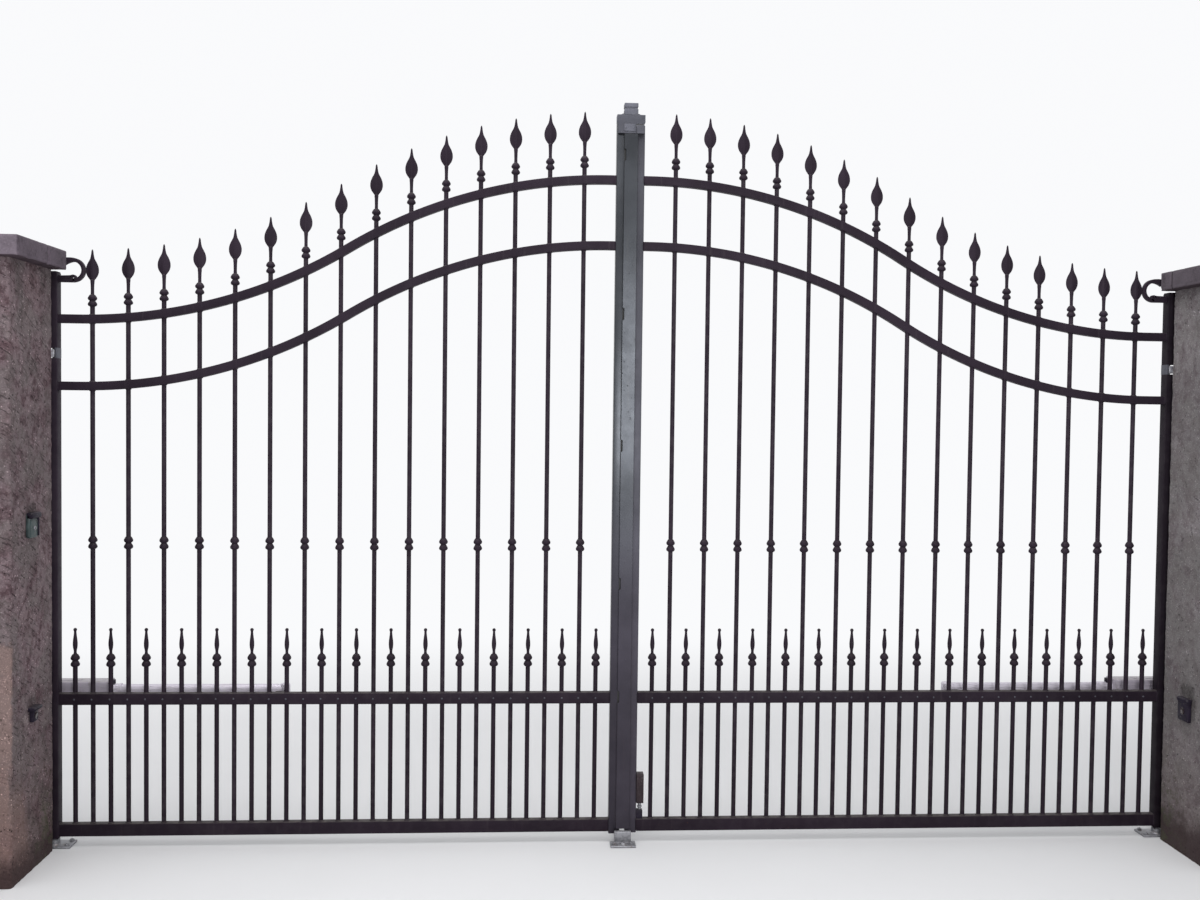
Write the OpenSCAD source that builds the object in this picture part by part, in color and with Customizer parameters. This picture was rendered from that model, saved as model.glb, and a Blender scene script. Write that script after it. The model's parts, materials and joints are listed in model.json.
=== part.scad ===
/* [Gateway] */
// Clear width between the two pillars
opening_w = 3970; // [3400:10:4600]
// How far the plane of the closed leaves lies behind the back of the pillars
gate_setback = 35; // [32:1:60]
// How far each hinge axis lies outside the clear opening, behind its pillar
axis_out = 10; // [0:1:12]

/* [Pillars] */
// Width of a pillar along the gate
pillar_w = 450; // [350:10:600]
// Depth of a pillar through the gate
pillar_d = 340; // [300:10:500]
// Height of the plastered shaft, up to the underside of the cap
pillar_h = 2012; // [1900:1:2200]
// Thickness of the stone cap
cap_t = 66; // [40:1:100]
// Overhang of the cap at the front and at both sides
cap_over = 45; // [20:1:50]
// Overhang of the cap at the back, where the leaves swing past it
cap_over_back = 15; // [0:1:15]

/* [Leaf frame] */
// Width of the hinge stile, a square tube
hinge_stile_w = 36; // [32:1:40]
// Width of the stile where the leaves meet
meeting_stile_w = 40; // [36:1:60]
// Depth of the stiles through the gate
stile_d = 40; // [36:1:46]
// Gap between the two meeting stiles
meeting_gap = 20; // [16:1:30]
// Height of the stile feet above the ground
foot_h = 32; // [30:1:60]
// Height of the top of the hinge stiles
hinge_stile_top = 2005; // [1960:1:2005]
// Height of the top of the left meeting stile
meeting_stile_top = 2570; // [2540:1:2700]
// Height of the underside of the bottom rail
bottom_rail_z = 38; // [34:1:80]
// Height of the bottom rail itself
bottom_rail_h = 44; // [30:1:60]
// Height of the middle of the mid rail
mid_rail_z = 522; // [480:1:560]
// Height of the mid rail itself
mid_rail_h = 40; // [30:1:44]
// Depth of all the rails through the gate
rail_d = 30; // [24:1:34]

/* [Curved rails] */
// Height of the upper curved rail's middle at the hinge stile
upper_rail_z = 1847; // [1800:1:1860]
// How far each curved rail climbs towards the middle of the gate
rail_rise = 523; // [400:1:540]
// Distance between the two curved rails, middle to middle
rail_drop = 232; // [180:1:300]
// Height of a curved rail's own section
curved_rail_h = 30; // [24:1:36]
// Level stretch at the middle of the gate, from the gate's centre line
crown_flat = 70; // [60:1:200]
// Level stretch at the hinge, from the hinge axis
hinge_flat = 85; // [30:1:200]

/* [Bars] */
// Number of upright bars in a leaf: the odd ones are short
bars_per_leaf = 31; // [23:2:35]
// Diameter of a bar
bar_dia = 16; // [12:1:18]
// Space around a bar where it runs through a rail
bar_play = 0.2; // [0.1:0.05:0.4]
// From the meeting stile to the middle of the first bar
first_bar_gap = 52; // [40:1:80]
// From the hinge stile to the middle of the last bar
last_bar_gap = 52; // [32:1:60]
// Height of the ball on a short bar
short_bar_top = 771; // [700:1:900]
// Height of the middle of the collar on a short bar
short_collar_z = 656; // [620:1:680]
// Height of the middle of the collar on a long bar
long_collar_z = 1070; // [900:1:1200]
// Diameter of a collar's rings
collar_dia = 31; // [24:1:36]
// Height of a double collar
collar_h = 44; // [24:1:48]
// Diameter of the ball on a short bar
ball_dia = 12; // [8:1:16]

/* [Spearheads] */
// How far a spear's point stands above the middle of the upper curved rail
spear_rise = 240; // [200:1:300]
// Height of the blade
blade_h = 107; // [80:1:130]
// Width of the blade
blade_w = 44; // [30:1:52]
// Thickness of the blade at its ridge
blade_t = 17; // [14:1:22]
// Length of the round neck between the blade and the collar
neck_h = 46; // [20:1:60]
// Diameter of that neck
neck_dia = 13; // [10:1:15]

/* [Scrolls] */
// Outer radius of a scroll
scroll_r = 42; // [34:1:42]
// How far the middle of a scroll stands above the top of the hinge stile
scroll_rise = 10; // [0:1:18]
// Thickness of the scroll's bar
scroll_t = 13; // [8:1:14]
// Outer radius of the small curl on the scroll's foot
curl_r = 14; // [11:1:15]
// Depth of the scroll's bar through the gate
scroll_d = 16; // [10:1:20]

/* [Cover strip and cap piece] */
// Width of the strip that covers the joint between the leaves
strip_w = 48; // [44:1:60]
// Thickness of that strip
strip_t = 8; // [6:1:8]
// Height of the foot of the strip
strip_foot = 52; // [52:1:90]
// Height of the top of the strip
strip_top = 2530; // [2400:1:2530]
// How far the right meeting stile stands back from the strip
lap_gap = 8; // [8:1:12]
// Width of a gap between the welds of the strip
slit_w = 6; // [3:1:8]
// Length of a gap between the welds of the strip
slit_h = 43; // [20:1:60]
// Thickness of the plate across both stiles
saddle_t = 28; // [20:1:40]
// Width of the block on top of that plate
block_w = 49; // [30:1:60]
// Height of the block on top of that plate
block_h = 41; // [20:1:60]

/* [Hinges] */
// Height of the middle of the upper hinge
upper_hinge_z = 1728; // [1680:1:1760]
// Height of the notch that holds the hinge eye
notch_h = 35; // [33:1:50]
// Height of the hinge eye
eye_h = 27; // [15:1:27]
// Radius of the hinge eye
eye_r = 8.5; // [7:0.5:8.5]
// Radius of the hinge pin
hinge_pin_r = 5; // [4:0.5:6]
// Thickness of the stile left beside the notch
notch_web = 9; // [6:0.5:9]
// Radius of the pin that stands on the ground under the hinge stile
ground_pin_r = 9; // [7:0.5:10]

/* [Lock] */
// Height of the foot of the lock case above the ground
lock_foot = 140; // [130:1:200]
// Height of the lock case
lock_h = 105; // [80:1:200]
// Width of the lock case
lock_w = 26; // [20:1:30]
// Radius of the drop bolt under it
bolt_r = 6; // [4:0.5:7]
// Height of the guide that the drop bolt runs in
guide_h = 32; // [20:1:40]

/* [Swing-gate operators] */
// Height of the middle of the operator's arm
operator_z = 533; // [526:1:540]
// Distance of the arm behind the plane of the leaves
operator_back = 95; // [90:1:110]
// Distance of the rear pivot outside the hinge axis
rear_pivot_out = 87; // [84:1:110]
// Distance of the front pivot inside the hinge axis
front_pivot_in = 775; // [700:1:800]
// Distance from the rear pivot to the front end of the housing
housing_len = 255; // [255:1:280]
// Length of the gland in front of the housing
gland_len = 30; // [16:1:40]
// Side of the housing's square section
housing_side = 70; // [60:1:76]
// Radius of the arm's round tube
tube_r = 17.5; // [14:0.5:18]
// Space between the arm's tube and the bore of the housing
tube_play = 0.1; // [0.05:0.05:0.2]
// Radius of the rear pivot pin
pivot_r = 6; // [5:0.5:8]

/* [Photocells and key switch] */
// How far the hood of a photocell stands out from its pillar
photocell_d = 24; // [20:1:38]
// Width of a photocell's housing
photocell_w = 60; // [50:1:70]
// Width of the left photocell's hood
left_hood_w = 106; // [60:1:120]
// Width of the right photocell's hood
right_hood_w = 68; // [60:1:120]
// Height of the left photocell's housing
left_photocell_h = 60; // [50:1:100]
// Height of the right photocell's housing
right_photocell_h = 82; // [50:1:100]
// Height of the middle of the photocells
photocell_z = 520; // [300:1:800]
// Distance of the photocells in front of the plane of the leaves
photocell_y = 195; // [100:1:250]
// Radius of a photocell's lens
lens_r = 9; // [6:0.5:12]
// Height of the middle of the key switch
key_switch_z = 1153; // [900:1:1500]
// Distance of the key switch in front of the plane of the leaves
key_switch_y = 207; // [120:1:260]
// Width of the key switch
key_switch_w = 104; // [60:1:110]
// Height of the key switch
key_switch_h = 84; // [60:1:120]
// How far the hood of the key switch stands out from its pillar
key_switch_d = 24; // [20:1:38]

/* [Hidden] */
$fn = 48;
iron = "#3f4046";
plaster = "#8d8676";
stone = "#9a958c";
zinc = "#c9cccf";
housing_grey = "#c4c2b8";
dark_plastic = "#2b2e33";
gate_x = pillar_w / 2 + opening_w / 2;
gate_y = pillar_d / 2 + gate_setback;
axis_t = opening_w / 2 + axis_out;
stile_in = axis_t - hinge_stile_w / 2;
meet_t = meeting_gap / 2;
meet_in = meet_t + meeting_stile_w;
pillar_back = -gate_setback;
first_bar = meet_in + first_bar_gap;
bar_pitch = (stile_in - last_bar_gap - first_bar) / (bars_per_leaf - 1);
hole_r = bar_dia / 2 + bar_play;
rail_base = bottom_rail_z + bottom_rail_h;
crown_t = crown_flat;
spring_t = axis_t - hinge_flat;
rail_run = spring_t - crown_t;
rail_sweep = 2 * atan(rail_rise / rail_run);
rail_r = rail_run / (2 * sin(rail_sweep));
rail_mid = (crown_t + spring_t) / 2;
lower_rail_z = upper_rail_z - rail_drop;
spear_h = blade_h + neck_h + collar_h;
notch_z = upper_hinge_z - notch_h / 2;
rear_x = -axis_t - rear_pivot_out;
front_x = -axis_t + front_pivot_in;
fine = 360;

// Distances from the gate's centre line to a bar, and the height of a curved rail there
function bar_t(k) = first_bar + bar_pitch * k;
function rail_z(t, z) = t < crown_t ? z + rail_rise
    : t < rail_mid ? z + rail_rise - rail_r + sqrt(rail_r ^ 2 - (t - crown_t) ^ 2)
    : t < spring_t ? z + rail_r - sqrt(rail_r ^ 2 - (spring_t - t) ^ 2)
    : z;

// A leaf is drawn as the left one, from the gate's centre line out to the left
module on_left() {
    translate([gate_x, gate_y, 0]) children();
}
module on_right() {
    translate([gate_x, gate_y, 0]) mirror([1, 0, 0]) children();
}
module block(x0, x1, y0, y1, z0, z1) {
    translate([x0, y0, z0]) cube([x1 - x0, y1 - y0, z1 - z0]);
}
module rod(x, y, z0, z1, r) {
    translate([x, y, z0]) cylinder(h = z1 - z0, r = r);
}

// Masonry
module pillar() {
    color(plaster) block(-pillar_w / 2, pillar_w / 2, -pillar_d / 2, pillar_d / 2, 0, pillar_h);
}
module pillar_cap() {
    side = pillar_w / 2 + cap_over;
    front = pillar_d / 2 + cap_over;
    back = pillar_d / 2 + cap_over_back;
    color(stone) block(-side, side, -front, back, pillar_h, pillar_h + cap_t);
}

// Upper hinge: plate on the pillar's back, leg, neck and eye round the leaf's pin
module upper_hinge() {
    neck = 12;
    plate_t = 8;
    plate_h = 100;
    leg_x = -axis_t - 84;
    color(zinc) translate([0, 0, upper_hinge_z]) difference() {
        union() {
            rod(-axis_t, 0, -eye_h / 2, eye_h / 2, eye_r);
            block(leg_x, -axis_t, -neck / 2, neck / 2, -eye_h / 2, eye_h / 2);
            block(leg_x, leg_x + neck, pillar_back, neck / 2, -eye_h / 2, eye_h / 2);
            block(leg_x - 36, leg_x + 48, pillar_back, pillar_back + plate_t, -plate_h / 2, plate_h / 2);
        }
        rod(-axis_t, 0, -eye_h, eye_h, hinge_pin_r + 0.1);
    }
}

// Ground pivot: plate, boss and the pin that the stile's foot turns on
module ground_pivot() {
    plate_t = 8;
    boss_top = foot_h - 5;
    color(zinc) {
        block(-axis_t - 60, -axis_t + 60, -28, 45, 0, plate_t);
        rod(-axis_t, 0, 0, boss_top, 17);
        rod(-axis_t, 0, 0, foot_h + 40, ground_pin_r);
    }
}

// Stop on the ground, against which both leaves close
module ground_stop() {
    color(zinc) {
        block(-45, 45, -78, -25, 0, 8);
        block(-30, 30, -43, -25, 0, strip_foot - 5);
    }
}

// Rear bracket of an operator: plate on the pillar's back, two arms and the pivot pin
module operator_bracket() {
    plate_t = 8;
    arm_w = 36;
    lug_t = 20;
    color(iron) {
        block(rear_x - 40, rear_x + 40, pillar_back, pillar_back + plate_t, operator_z - 50, operator_z + 50);
        for (z = [operator_z - lug_t / 2 - 5 - plate_t, operator_z + lug_t / 2 + 5]) {
            block(rear_x - arm_w / 2, rear_x + arm_w / 2, pillar_back, operator_back, z, z + plate_t);
            rod(rear_x, operator_back, z, z + plate_t, arm_w / 2);
        }
        rod(rear_x, operator_back, operator_z - 28, operator_z + 28, pivot_r);
    }
}

// Leaf frame
module hinge_stile() {
    half = stile_d / 2;
    outer = -axis_t - hinge_stile_w / 2;
    color(iron) {
        difference() {
            block(outer, -stile_in, -half, half, foot_h, hinge_stile_top);
            block(outer - 1, -stile_in - notch_web, -stile_d, stile_d, notch_z, notch_z + notch_h);
            rod(-axis_t, 0, 0, foot_h + 45, ground_pin_r + 0.1);
        }
        rod(-axis_t, 0, notch_z - 1, notch_z + notch_h + 1, hinge_pin_r);
    }
}
module meeting_stile(set_back, top) {
    color(iron) block(-meet_in, -meet_t, -stile_d / 2 + set_back, stile_d / 2, foot_h, top);
}
module straight_rail(z, h) {
    color(iron) block(-stile_in, -meet_in, -rail_d / 2, rail_d / 2, z, z + h);
}
module bar_holes(z0, z1, first, step) {
    for (k = [first : step : bars_per_leaf - 1]) rod(-bar_t(k), 0, z0, z1, hole_r);
}
module bottom_rail() {
    straight_rail(bottom_rail_z, bottom_rail_h);
}
module mid_rail() {
    color(iron) difference() {
        straight_rail(mid_rail_z - mid_rail_h / 2, mid_rail_h);
        bar_holes(mid_rail_z - mid_rail_h, mid_rail_z + mid_rail_h, 0, 1);
    }
}
module rail_arc(x, z, start) {
    translate([x, 0, z]) rotate([90, 0, 0]) rotate([0, 0, start])
        rotate_extrude(angle = rail_sweep + 0.02, $fn = fine)
            translate([rail_r - curved_rail_h / 2, -rail_d / 2]) square([curved_rail_h, rail_d]);
}
module curved_rail(z) {
    half = curved_rail_h / 2;
    top = z + rail_rise;
    color(iron) difference() {
        union() {
            block(-stile_in, -spring_t, -rail_d / 2, rail_d / 2, z - half, z + half);
            rail_arc(-spring_t, z + rail_r, 270);
            rail_arc(-crown_t, top - rail_r, 90);
            block(-crown_t, -meet_in, -rail_d / 2, rail_d / 2, top - half, top + half);
        }
        bar_holes(z - 100, top + 100, 1, 2);
    }
}

// Bars, collars and spearheads
// A collar's outline, two beads over one another, as shares of how far it stands out and of its height
collar_outline = [[0.15, 0], [0.5, 0.12], [1, 0.27], [1, 0.35], [0.2, 0.49], [0.2, 0.54], [0.95, 0.66],
    [0.95, 0.74], [0.15, 1]];
collar_core = bar_dia / 2 + bar_play;
function collar_points(z) = [for (p = collar_outline)
    [collar_core + p[0] * (collar_dia / 2 - collar_core), z + p[1] * collar_h]];
module long_bars() {
    color(iron) for (k = [1 : 2 : bars_per_leaf - 1])
        rod(-bar_t(k), 0, rail_base, rail_z(bar_t(k), upper_rail_z) + spear_rise - spear_h, bar_dia / 2);
}
module collars() {
    color(iron) for (k = [1 : 2 : bars_per_leaf - 1])
        translate([-bar_t(k), 0, long_collar_z - collar_h / 2])
            rotate_extrude() polygon(concat([[collar_core, 0]], collar_points(0), [[collar_core, collar_h]]));
}
// The finial's outline over the collar, as shares of the bar's radius and of the finial's height
finial_outline = [[0.85, 0], [0.62, 0.05], [0.62, 0.13], [0.9, 0.27], [1, 0.4], [0.95, 0.53], [0.72, 0.72]];
module short_bar() {
    r = bar_dia / 2;
    ball = ball_dia / 2;
    low = short_collar_z - collar_h / 2;
    top = low + collar_h;
    rise = short_bar_top - ball - top;
    tip_r = ball * 0.7;
    finial = [for (p = finial_outline) [p[0] * r, top + p[1] * rise]];
    rotate_extrude() {
        polygon(concat([[0, rail_base], [r, rail_base], [r, low]], collar_points(low), finial,
            [[tip_r, top + 0.86 * rise], [tip_r, top + rise], [0, top + rise]]));
        intersection() {
            translate([0, top + rise]) circle(r = ball, $fn = 24);
            translate([0, top + rise - ball]) square([ball, 2 * ball]);
        }
    }
}
module short_bars() {
    color(iron) for (k = [0 : 2 : bars_per_leaf - 1]) translate([-bar_t(k), 0, 0]) short_bar();
}
// The blade's outline as shares of its half width and height, from its foot to its point
blade_outline = [[0.30, 0], [0.48, 0.08], [0.74, 0.17], [0.94, 0.26], [1, 0.35], [0.93, 0.44],
    [0.72, 0.54], [0.45, 0.66], [0.24, 0.79], [0.10, 0.91], [0.03, 1]];
module blade() {
    lean = atan(blade_w / blade_t);
    squeeze = cos(lean) * blade_w / 2;
    right = [for (p = blade_outline) [p[0] * squeeze, p[1] * blade_h]];
    left = [for (i = [len(right) - 1 : -1 : 0]) [-right[i][0], right[i][1]]];
    intersection_for (a = [-lean, lean]) rotate([90, 0, a])
        linear_extrude(height = blade_w * 2, center = true) polygon(concat(right, left));
}
module spearhead() {
    r = neck_dia / 2;
    neck_top = collar_h + neck_h;
    tang = blade_h * 0.35;
    rotate_extrude() polygon(concat([[0, 0]], collar_points(0), [[r * 0.9, collar_h + 3], [r, neck_top],
        [1.5, neck_top + tang], [0, neck_top + tang]]));
    translate([0, 0, neck_top]) blade();
}
module spearheads() {
    color(iron) for (k = [1 : 2 : bars_per_leaf - 1])
        translate([-bar_t(k), 0, rail_z(bar_t(k), upper_rail_z) + spear_rise - spear_h]) spearhead();
}

// Scroll on the hinge stile: a bar from the stile that curls round and over, with a small curl on its foot
module flat_arc(r, t, start, sweep) {
    rotate([0, 0, start]) rotate_extrude(angle = sweep, $fn = 96)
        translate([r - t, -scroll_d / 2]) square([t, scroll_d]);
}
module scroll() {
    lug = 1;
    deep = scroll_d / 2 + lug;
    cx = -bar_t(bars_per_leaf - 2) - blade_w / 2 - 0.5 - scroll_r;
    cz = hinge_stile_top + scroll_rise;
    foot_top = -scroll_r + scroll_t + lug;
    curl_x = -curl_r * 0.7;
    color(iron) translate([cx, 0, cz]) {
        rotate([90, 0, 0]) {
            flat_arc(scroll_r, scroll_t, -95, 235);
            translate([curl_x, foot_top + curl_r * 0.2, 0]) flat_arc(curl_r, curl_r * 0.6, -45, 270);
        }
        block(-stile_in - cx, 0, -deep, deep, -scroll_r - lug, foot_top);
    }
}

// Bracket on the leaf, under the front end of the operator's arm
module arm_bracket() {
    plate_t = 12;
    plate_top = operator_z - 24;
    back = rail_d / 2;
    color(iron) {
        block(front_x - 18, front_x + 18, back, operator_back, plate_top - plate_t, plate_top);
        rod(front_x, operator_back, plate_top - plate_t, plate_top, 18);
        block(front_x - 18, front_x + 18, back, back + 8, plate_top - plate_t, mid_rail_z + mid_rail_h / 2);
    }
}

// Strip on the left leaf that covers the joint, with open stretches between its welds
slit_z = [529, 935, 1428, 1895, 2455];
module cover_strip() {
    front = -stile_d / 2 - strip_t;
    color(iron) difference() {
        block(-strip_w / 2, strip_w / 2, front, -stile_d / 2, strip_foot, strip_top);
        for (z = slit_z)
            block(-strip_w, -strip_w / 2 + slit_w, front - 1, 0, z - slit_h / 2, z + slit_h / 2);
    }
}
module meeting_cap() {
    top = meeting_stile_top + saddle_t;
    groove = 3;
    color(iron) difference() {
        union() {
            block(-meet_in, meet_in, -stile_d / 2, stile_d / 2, meeting_stile_top, top);
            block(-block_w / 2, block_w / 2, -stile_d / 2, stile_d / 2, top, top + block_h);
        }
        difference() {
            block(-block_w, block_w, -stile_d, stile_d, top + block_h / 2, top + block_h / 2 + 2 * groove);
            block(-block_w / 2 + groove, block_w / 2 - groove, -stile_d / 2 + groove, stile_d / 2 - groove,
                top, top + block_h);
        }
    }
}

// Lock on the right leaf, drawn on the left side like the rest of a leaf
module lock_case() {
    plate = 3;
    front = -16;
    top = lock_foot + lock_h;
    cylinder_z = lock_foot + lock_h * 0.7;
    color("#6b655c") {
        block(-meet_in - lock_w, -meet_in, front + plate, stile_d / 2, lock_foot, top);
        block(-meet_in - lock_w + 2, -meet_in, front, front + plate, lock_foot + 2, top - 2);
        translate([-meet_in - lock_w / 2, front, cylinder_z]) rotate([90, 0, 0]) cylinder(h = 4, r = 8);
    }
}
module drop_bolt() {
    color(zinc) rod(-meet_in - lock_w / 2, 0, rail_base + 2, lock_foot, bolt_r);
}
module bolt_guide() {
    half = bolt_r + 6;
    color(dark_plastic) difference() {
        block(-meet_in - lock_w / 2 - half + 2, -meet_in, -half, half, rail_base, rail_base + guide_h);
        rod(-meet_in - lock_w / 2, 0, 0, lock_foot, bolt_r + 0.2);
    }
}

// Operator: a housing that swings on the rear bracket, and an arm that slides in it
module rounded_rect(w, h, r) {
    x = w / 2 - r;
    y = h / 2 - r;
    square([w, 2 * y], center = true);
    square([2 * x, h], center = true);
    for (i = [-x, x], j = [-y, y]) translate([i, j]) circle(r = r, $fn = 32);
}
module along_x(x0, x1) {
    translate([x0, 0, 0]) rotate([90, 0, 90]) linear_extrude(height = x1 - x0) children();
}
module operator_housing() {
    lug_t = 20;
    lug_w = 30;
    start = rear_x + 30;
    front = rear_x + housing_len;
    cover_t = 6;
    gland_r = tube_r + 3.5;
    lip_t = 5;
    color(housing_grey) translate([0, operator_back, operator_z]) difference() {
        union() {
            rod(rear_x, 0, -lug_t / 2, lug_t / 2, lug_w / 2);
            block(rear_x, start + 1, -lug_w / 2, lug_w / 2, -lug_t / 2, lug_t / 2);
            along_x(start, start + cover_t) rounded_rect(housing_side, housing_side, 8);
            along_x(start + cover_t, front - cover_t) rounded_rect(housing_side - 3, housing_side - 3, 7);
            along_x(front - cover_t, front) rounded_rect(housing_side, housing_side, 8);
            along_x(front, front + gland_len) circle(r = gland_r, $fn = 64);
            along_x(front + gland_len - lip_t, front + gland_len) circle(r = gland_r + 2, $fn = 64);
            block(front - 1, front + 16, -8, 8, gland_r - 2, housing_side / 2 - 1);
        }
        rod(rear_x, 0, -lug_t, lug_t, pivot_r + 0.1);
        along_x(start + cover_t, front + gland_len + 1) circle(r = tube_r + tube_play, $fn = 64);
    }
}
module operator_rod() {
    start = rear_x + housing_len - 20;
    eye_half = 19;
    color(zinc) translate([0, operator_back, operator_z]) {
        along_x(start, front_x) circle(r = tube_r, $fn = 64);
        rod(front_x, 0, -eye_half, eye_half, 18);
        rod(front_x, 0, eye_half - 1, eye_half + 6, 8);
    }
}

// Devices on the faces of the pillars that look into the opening: hooded photocells and a key switch
module photocell(h, hood_w) {
    d = photocell_d;
    face = d * 0.6;
    wide = min(photocell_w, hood_w);
    aside = (hood_w - wide) / 4;
    color(dark_plastic) translate([-opening_w / 2, -photocell_y, photocell_z]) difference() {
        union() {
            translate([0, aside, 0]) rotate([90, 0, 0]) linear_extrude(height = wide, center = true)
                polygon([[0, -h / 2], [face * 0.8, -h / 2], [face, -h * 0.42], [face, h * 0.3],
                    [0, h * 0.3]]);
            rotate([90, 0, 0]) linear_extrude(height = hood_w, center = true)
                polygon([[0, h * 0.2], [face + 1, h * 0.2], [d, h * 0.32], [d, h * 0.44], [d * 0.86, h / 2],
                    [0, h / 2]]);
        }
        translate([face - 3, aside, -h * 0.12]) rotate([0, 90, 0]) cylinder(h = d, r = lens_r);
    }
}
module left_photocell() {
    photocell(left_photocell_h, left_hood_w);
}
module right_photocell() {
    photocell(right_photocell_h, right_hood_w);
}
module key_switch() {
    rim = 5;
    hood_h = 18;
    face = key_switch_d / 2;
    face_w = key_switch_w - 2 * rim;
    face_h = key_switch_h - hood_h - 2 * rim;
    low = -hood_h / 2;
    color("#5e6a60") translate([-opening_w / 2, -key_switch_y, key_switch_z]) difference() {
        union() {
            along_x(0, face) rounded_rect(key_switch_w, key_switch_h, 6);
            translate([0, 0, low]) along_x(face, face + 2) rounded_rect(face_w, face_h, 4);
            translate([0, 0, low]) along_x(face, face + 6) circle(r = 11);
            translate([0, 0, (key_switch_h - hood_h) / 2])
                along_x(0, key_switch_d) rounded_rect(key_switch_w, hood_h, 3);
        }
        block(face + 3, face + 7, -1.5, 1.5, low - 6, low + 6);
    }
}

pillar();  // left_pillar
translate([pillar_w + opening_w, 0, 0]) pillar();  // right_pillar
pillar_cap();  // left_pillar_cap
translate([pillar_w + opening_w, 0, 0]) pillar_cap();  // right_pillar_cap
on_left() upper_hinge();  // left_upper_hinge
on_right() upper_hinge();  // right_upper_hinge
on_left() ground_pivot();  // left_ground_pivot
on_right() ground_pivot();  // right_ground_pivot
on_left() ground_stop();
on_left() operator_bracket();  // left_operator_bracket
on_right() operator_bracket();  // right_operator_bracket
on_left() left_photocell();
on_right() right_photocell();
on_left() key_switch();
on_left() hinge_stile();  // left_hinge_stile
on_left() meeting_stile(0, meeting_stile_top);  // left_meeting_stile
on_left() bottom_rail();  // left_bottom_rail
on_left() mid_rail();  // left_mid_rail
on_left() curved_rail(lower_rail_z);  // left_lower_curved_rail
on_left() curved_rail(upper_rail_z);  // left_upper_curved_rail
on_left() long_bars();  // left_long_bars
on_left() short_bars();  // left_short_bars
on_left() spearheads();  // left_spearheads
on_left() collars();  // left_collars
on_left() scroll();  // left_scroll
on_left() arm_bracket();  // left_arm_bracket
on_left() cover_strip();
on_left() meeting_cap();
on_right() hinge_stile();  // right_hinge_stile
on_right() meeting_stile(lap_gap, meeting_stile_top - lap_gap);  // right_meeting_stile
on_right() bottom_rail();  // right_bottom_rail
on_right() mid_rail();  // right_mid_rail
on_right() curved_rail(lower_rail_z);  // right_lower_curved_rail
on_right() curved_rail(upper_rail_z);  // right_upper_curved_rail
on_right() long_bars();  // right_long_bars
on_right() short_bars();  // right_short_bars
on_right() spearheads();  // right_spearheads
on_right() collars();  // right_collars
on_right() scroll();  // right_scroll
on_right() arm_bracket();  // right_arm_bracket
on_right() lock_case();
on_right() drop_bolt();
on_right() bolt_guide();
on_left() operator_housing();  // left_operator_housing
on_left() operator_rod();  // left_operator_rod
on_right() operator_housing();  // right_operator_housing
on_right() operator_rod();  // right_operator_rod
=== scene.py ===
import json
import math
import random

import bmesh
import bpy
from bpy.props import FloatProperty, FloatVectorProperty, IntProperty, PointerProperty
from mathutils import Matrix, Vector, noise


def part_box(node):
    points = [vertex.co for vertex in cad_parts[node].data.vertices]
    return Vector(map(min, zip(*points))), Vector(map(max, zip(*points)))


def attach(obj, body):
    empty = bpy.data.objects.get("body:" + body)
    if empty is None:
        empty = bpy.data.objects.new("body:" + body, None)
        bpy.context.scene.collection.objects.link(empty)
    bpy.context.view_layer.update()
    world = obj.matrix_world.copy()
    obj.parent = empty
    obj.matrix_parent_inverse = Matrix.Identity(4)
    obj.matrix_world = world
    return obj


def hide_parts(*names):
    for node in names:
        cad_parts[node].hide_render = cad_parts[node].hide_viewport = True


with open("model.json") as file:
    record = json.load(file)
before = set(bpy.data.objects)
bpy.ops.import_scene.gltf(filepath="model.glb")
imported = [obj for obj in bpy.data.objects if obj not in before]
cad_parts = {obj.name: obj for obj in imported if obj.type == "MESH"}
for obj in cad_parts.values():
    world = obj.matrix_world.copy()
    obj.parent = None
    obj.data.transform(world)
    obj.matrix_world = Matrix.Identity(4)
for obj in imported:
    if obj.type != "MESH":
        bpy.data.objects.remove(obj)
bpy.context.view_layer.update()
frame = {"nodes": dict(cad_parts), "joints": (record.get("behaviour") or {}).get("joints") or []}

bl_info = {
    "name": "Wrought Iron Driveway Gate",
    "version": (1, 0, 0),
    "blender": (4, 5, 0),
    "location": "View3D > Sidebar > Gate",
    "description": "Dresses a double-leaf wrought iron gate, its pillars and its operators piece by piece",
    "category": "Add Mesh",
}

# Where things are, from the frame

JOINTS = {joint["name"]: joint for joint in frame["joints"]}
HINGE_X = {side: JOINTS[f"{side}_leaf_hinge"]["pos_m"][0] for side in ("left", "right")}
SIDES = {"left": -1, "right": 1}
GATE = Vector(((HINGE_X["left"] + HINGE_X["right"]) / 2, JOINTS["left_leaf_hinge"]["pos_m"][1], 0))
AXIS_T = (HINGE_X["right"] - HINGE_X["left"]) / 2
REVEAL_X = {"left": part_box("left_pillar")[1].x, "right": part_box("right_pillar")[0].x}

# Details that the frame's boxes don't say, in metres

PLATE_T = 0.008
FINE_EDGE = 0.0012
NOTCH_H = 0.035
NOTCH_WEB = 0.009
HINGE_PIN_R = 0.005
CROWN_FLAT = 0.070
HINGE_FLAT = 0.085
COLLAR_H = 0.044
COLLAR_R = 0.0155
SPEAR_COLLAR_H = 0.040
BAR_R = 0.008
NECK_H = 0.046
NECK_R = 0.0065
BLADE_W = 0.044
BLADE_T = 0.017
SLITS = (0.529, 0.935, 1.428, 1.895, 2.455)
SLIT_H = 0.043
SLIT_W = 0.006
SCROLL_R = 0.042
SCROLL_T = 0.013
SCROLL_D = 0.016
SCROLL_RISE = 0.010
CURL_R = 0.0090
CURL_T = 0.0042
SHORT_COLLAR_Z = 0.656
RAIL_HALF = 0.015
HOUSING_LEN = {"left": 0.249, "right": 0.228}
SLEEVE_END = 0.285
LUG_LEN = {"left": 0.012, "right": 0.020}
ARM_TAIL = 0.235
EYE_R = 0.018
TUBE_R = 0.0175
CASE_BORE_R = 0.0196
SLEEVE_BORE_R = 0.0184
GROUND_PIN_R = 0.009
LENS_R = 0.010
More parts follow.
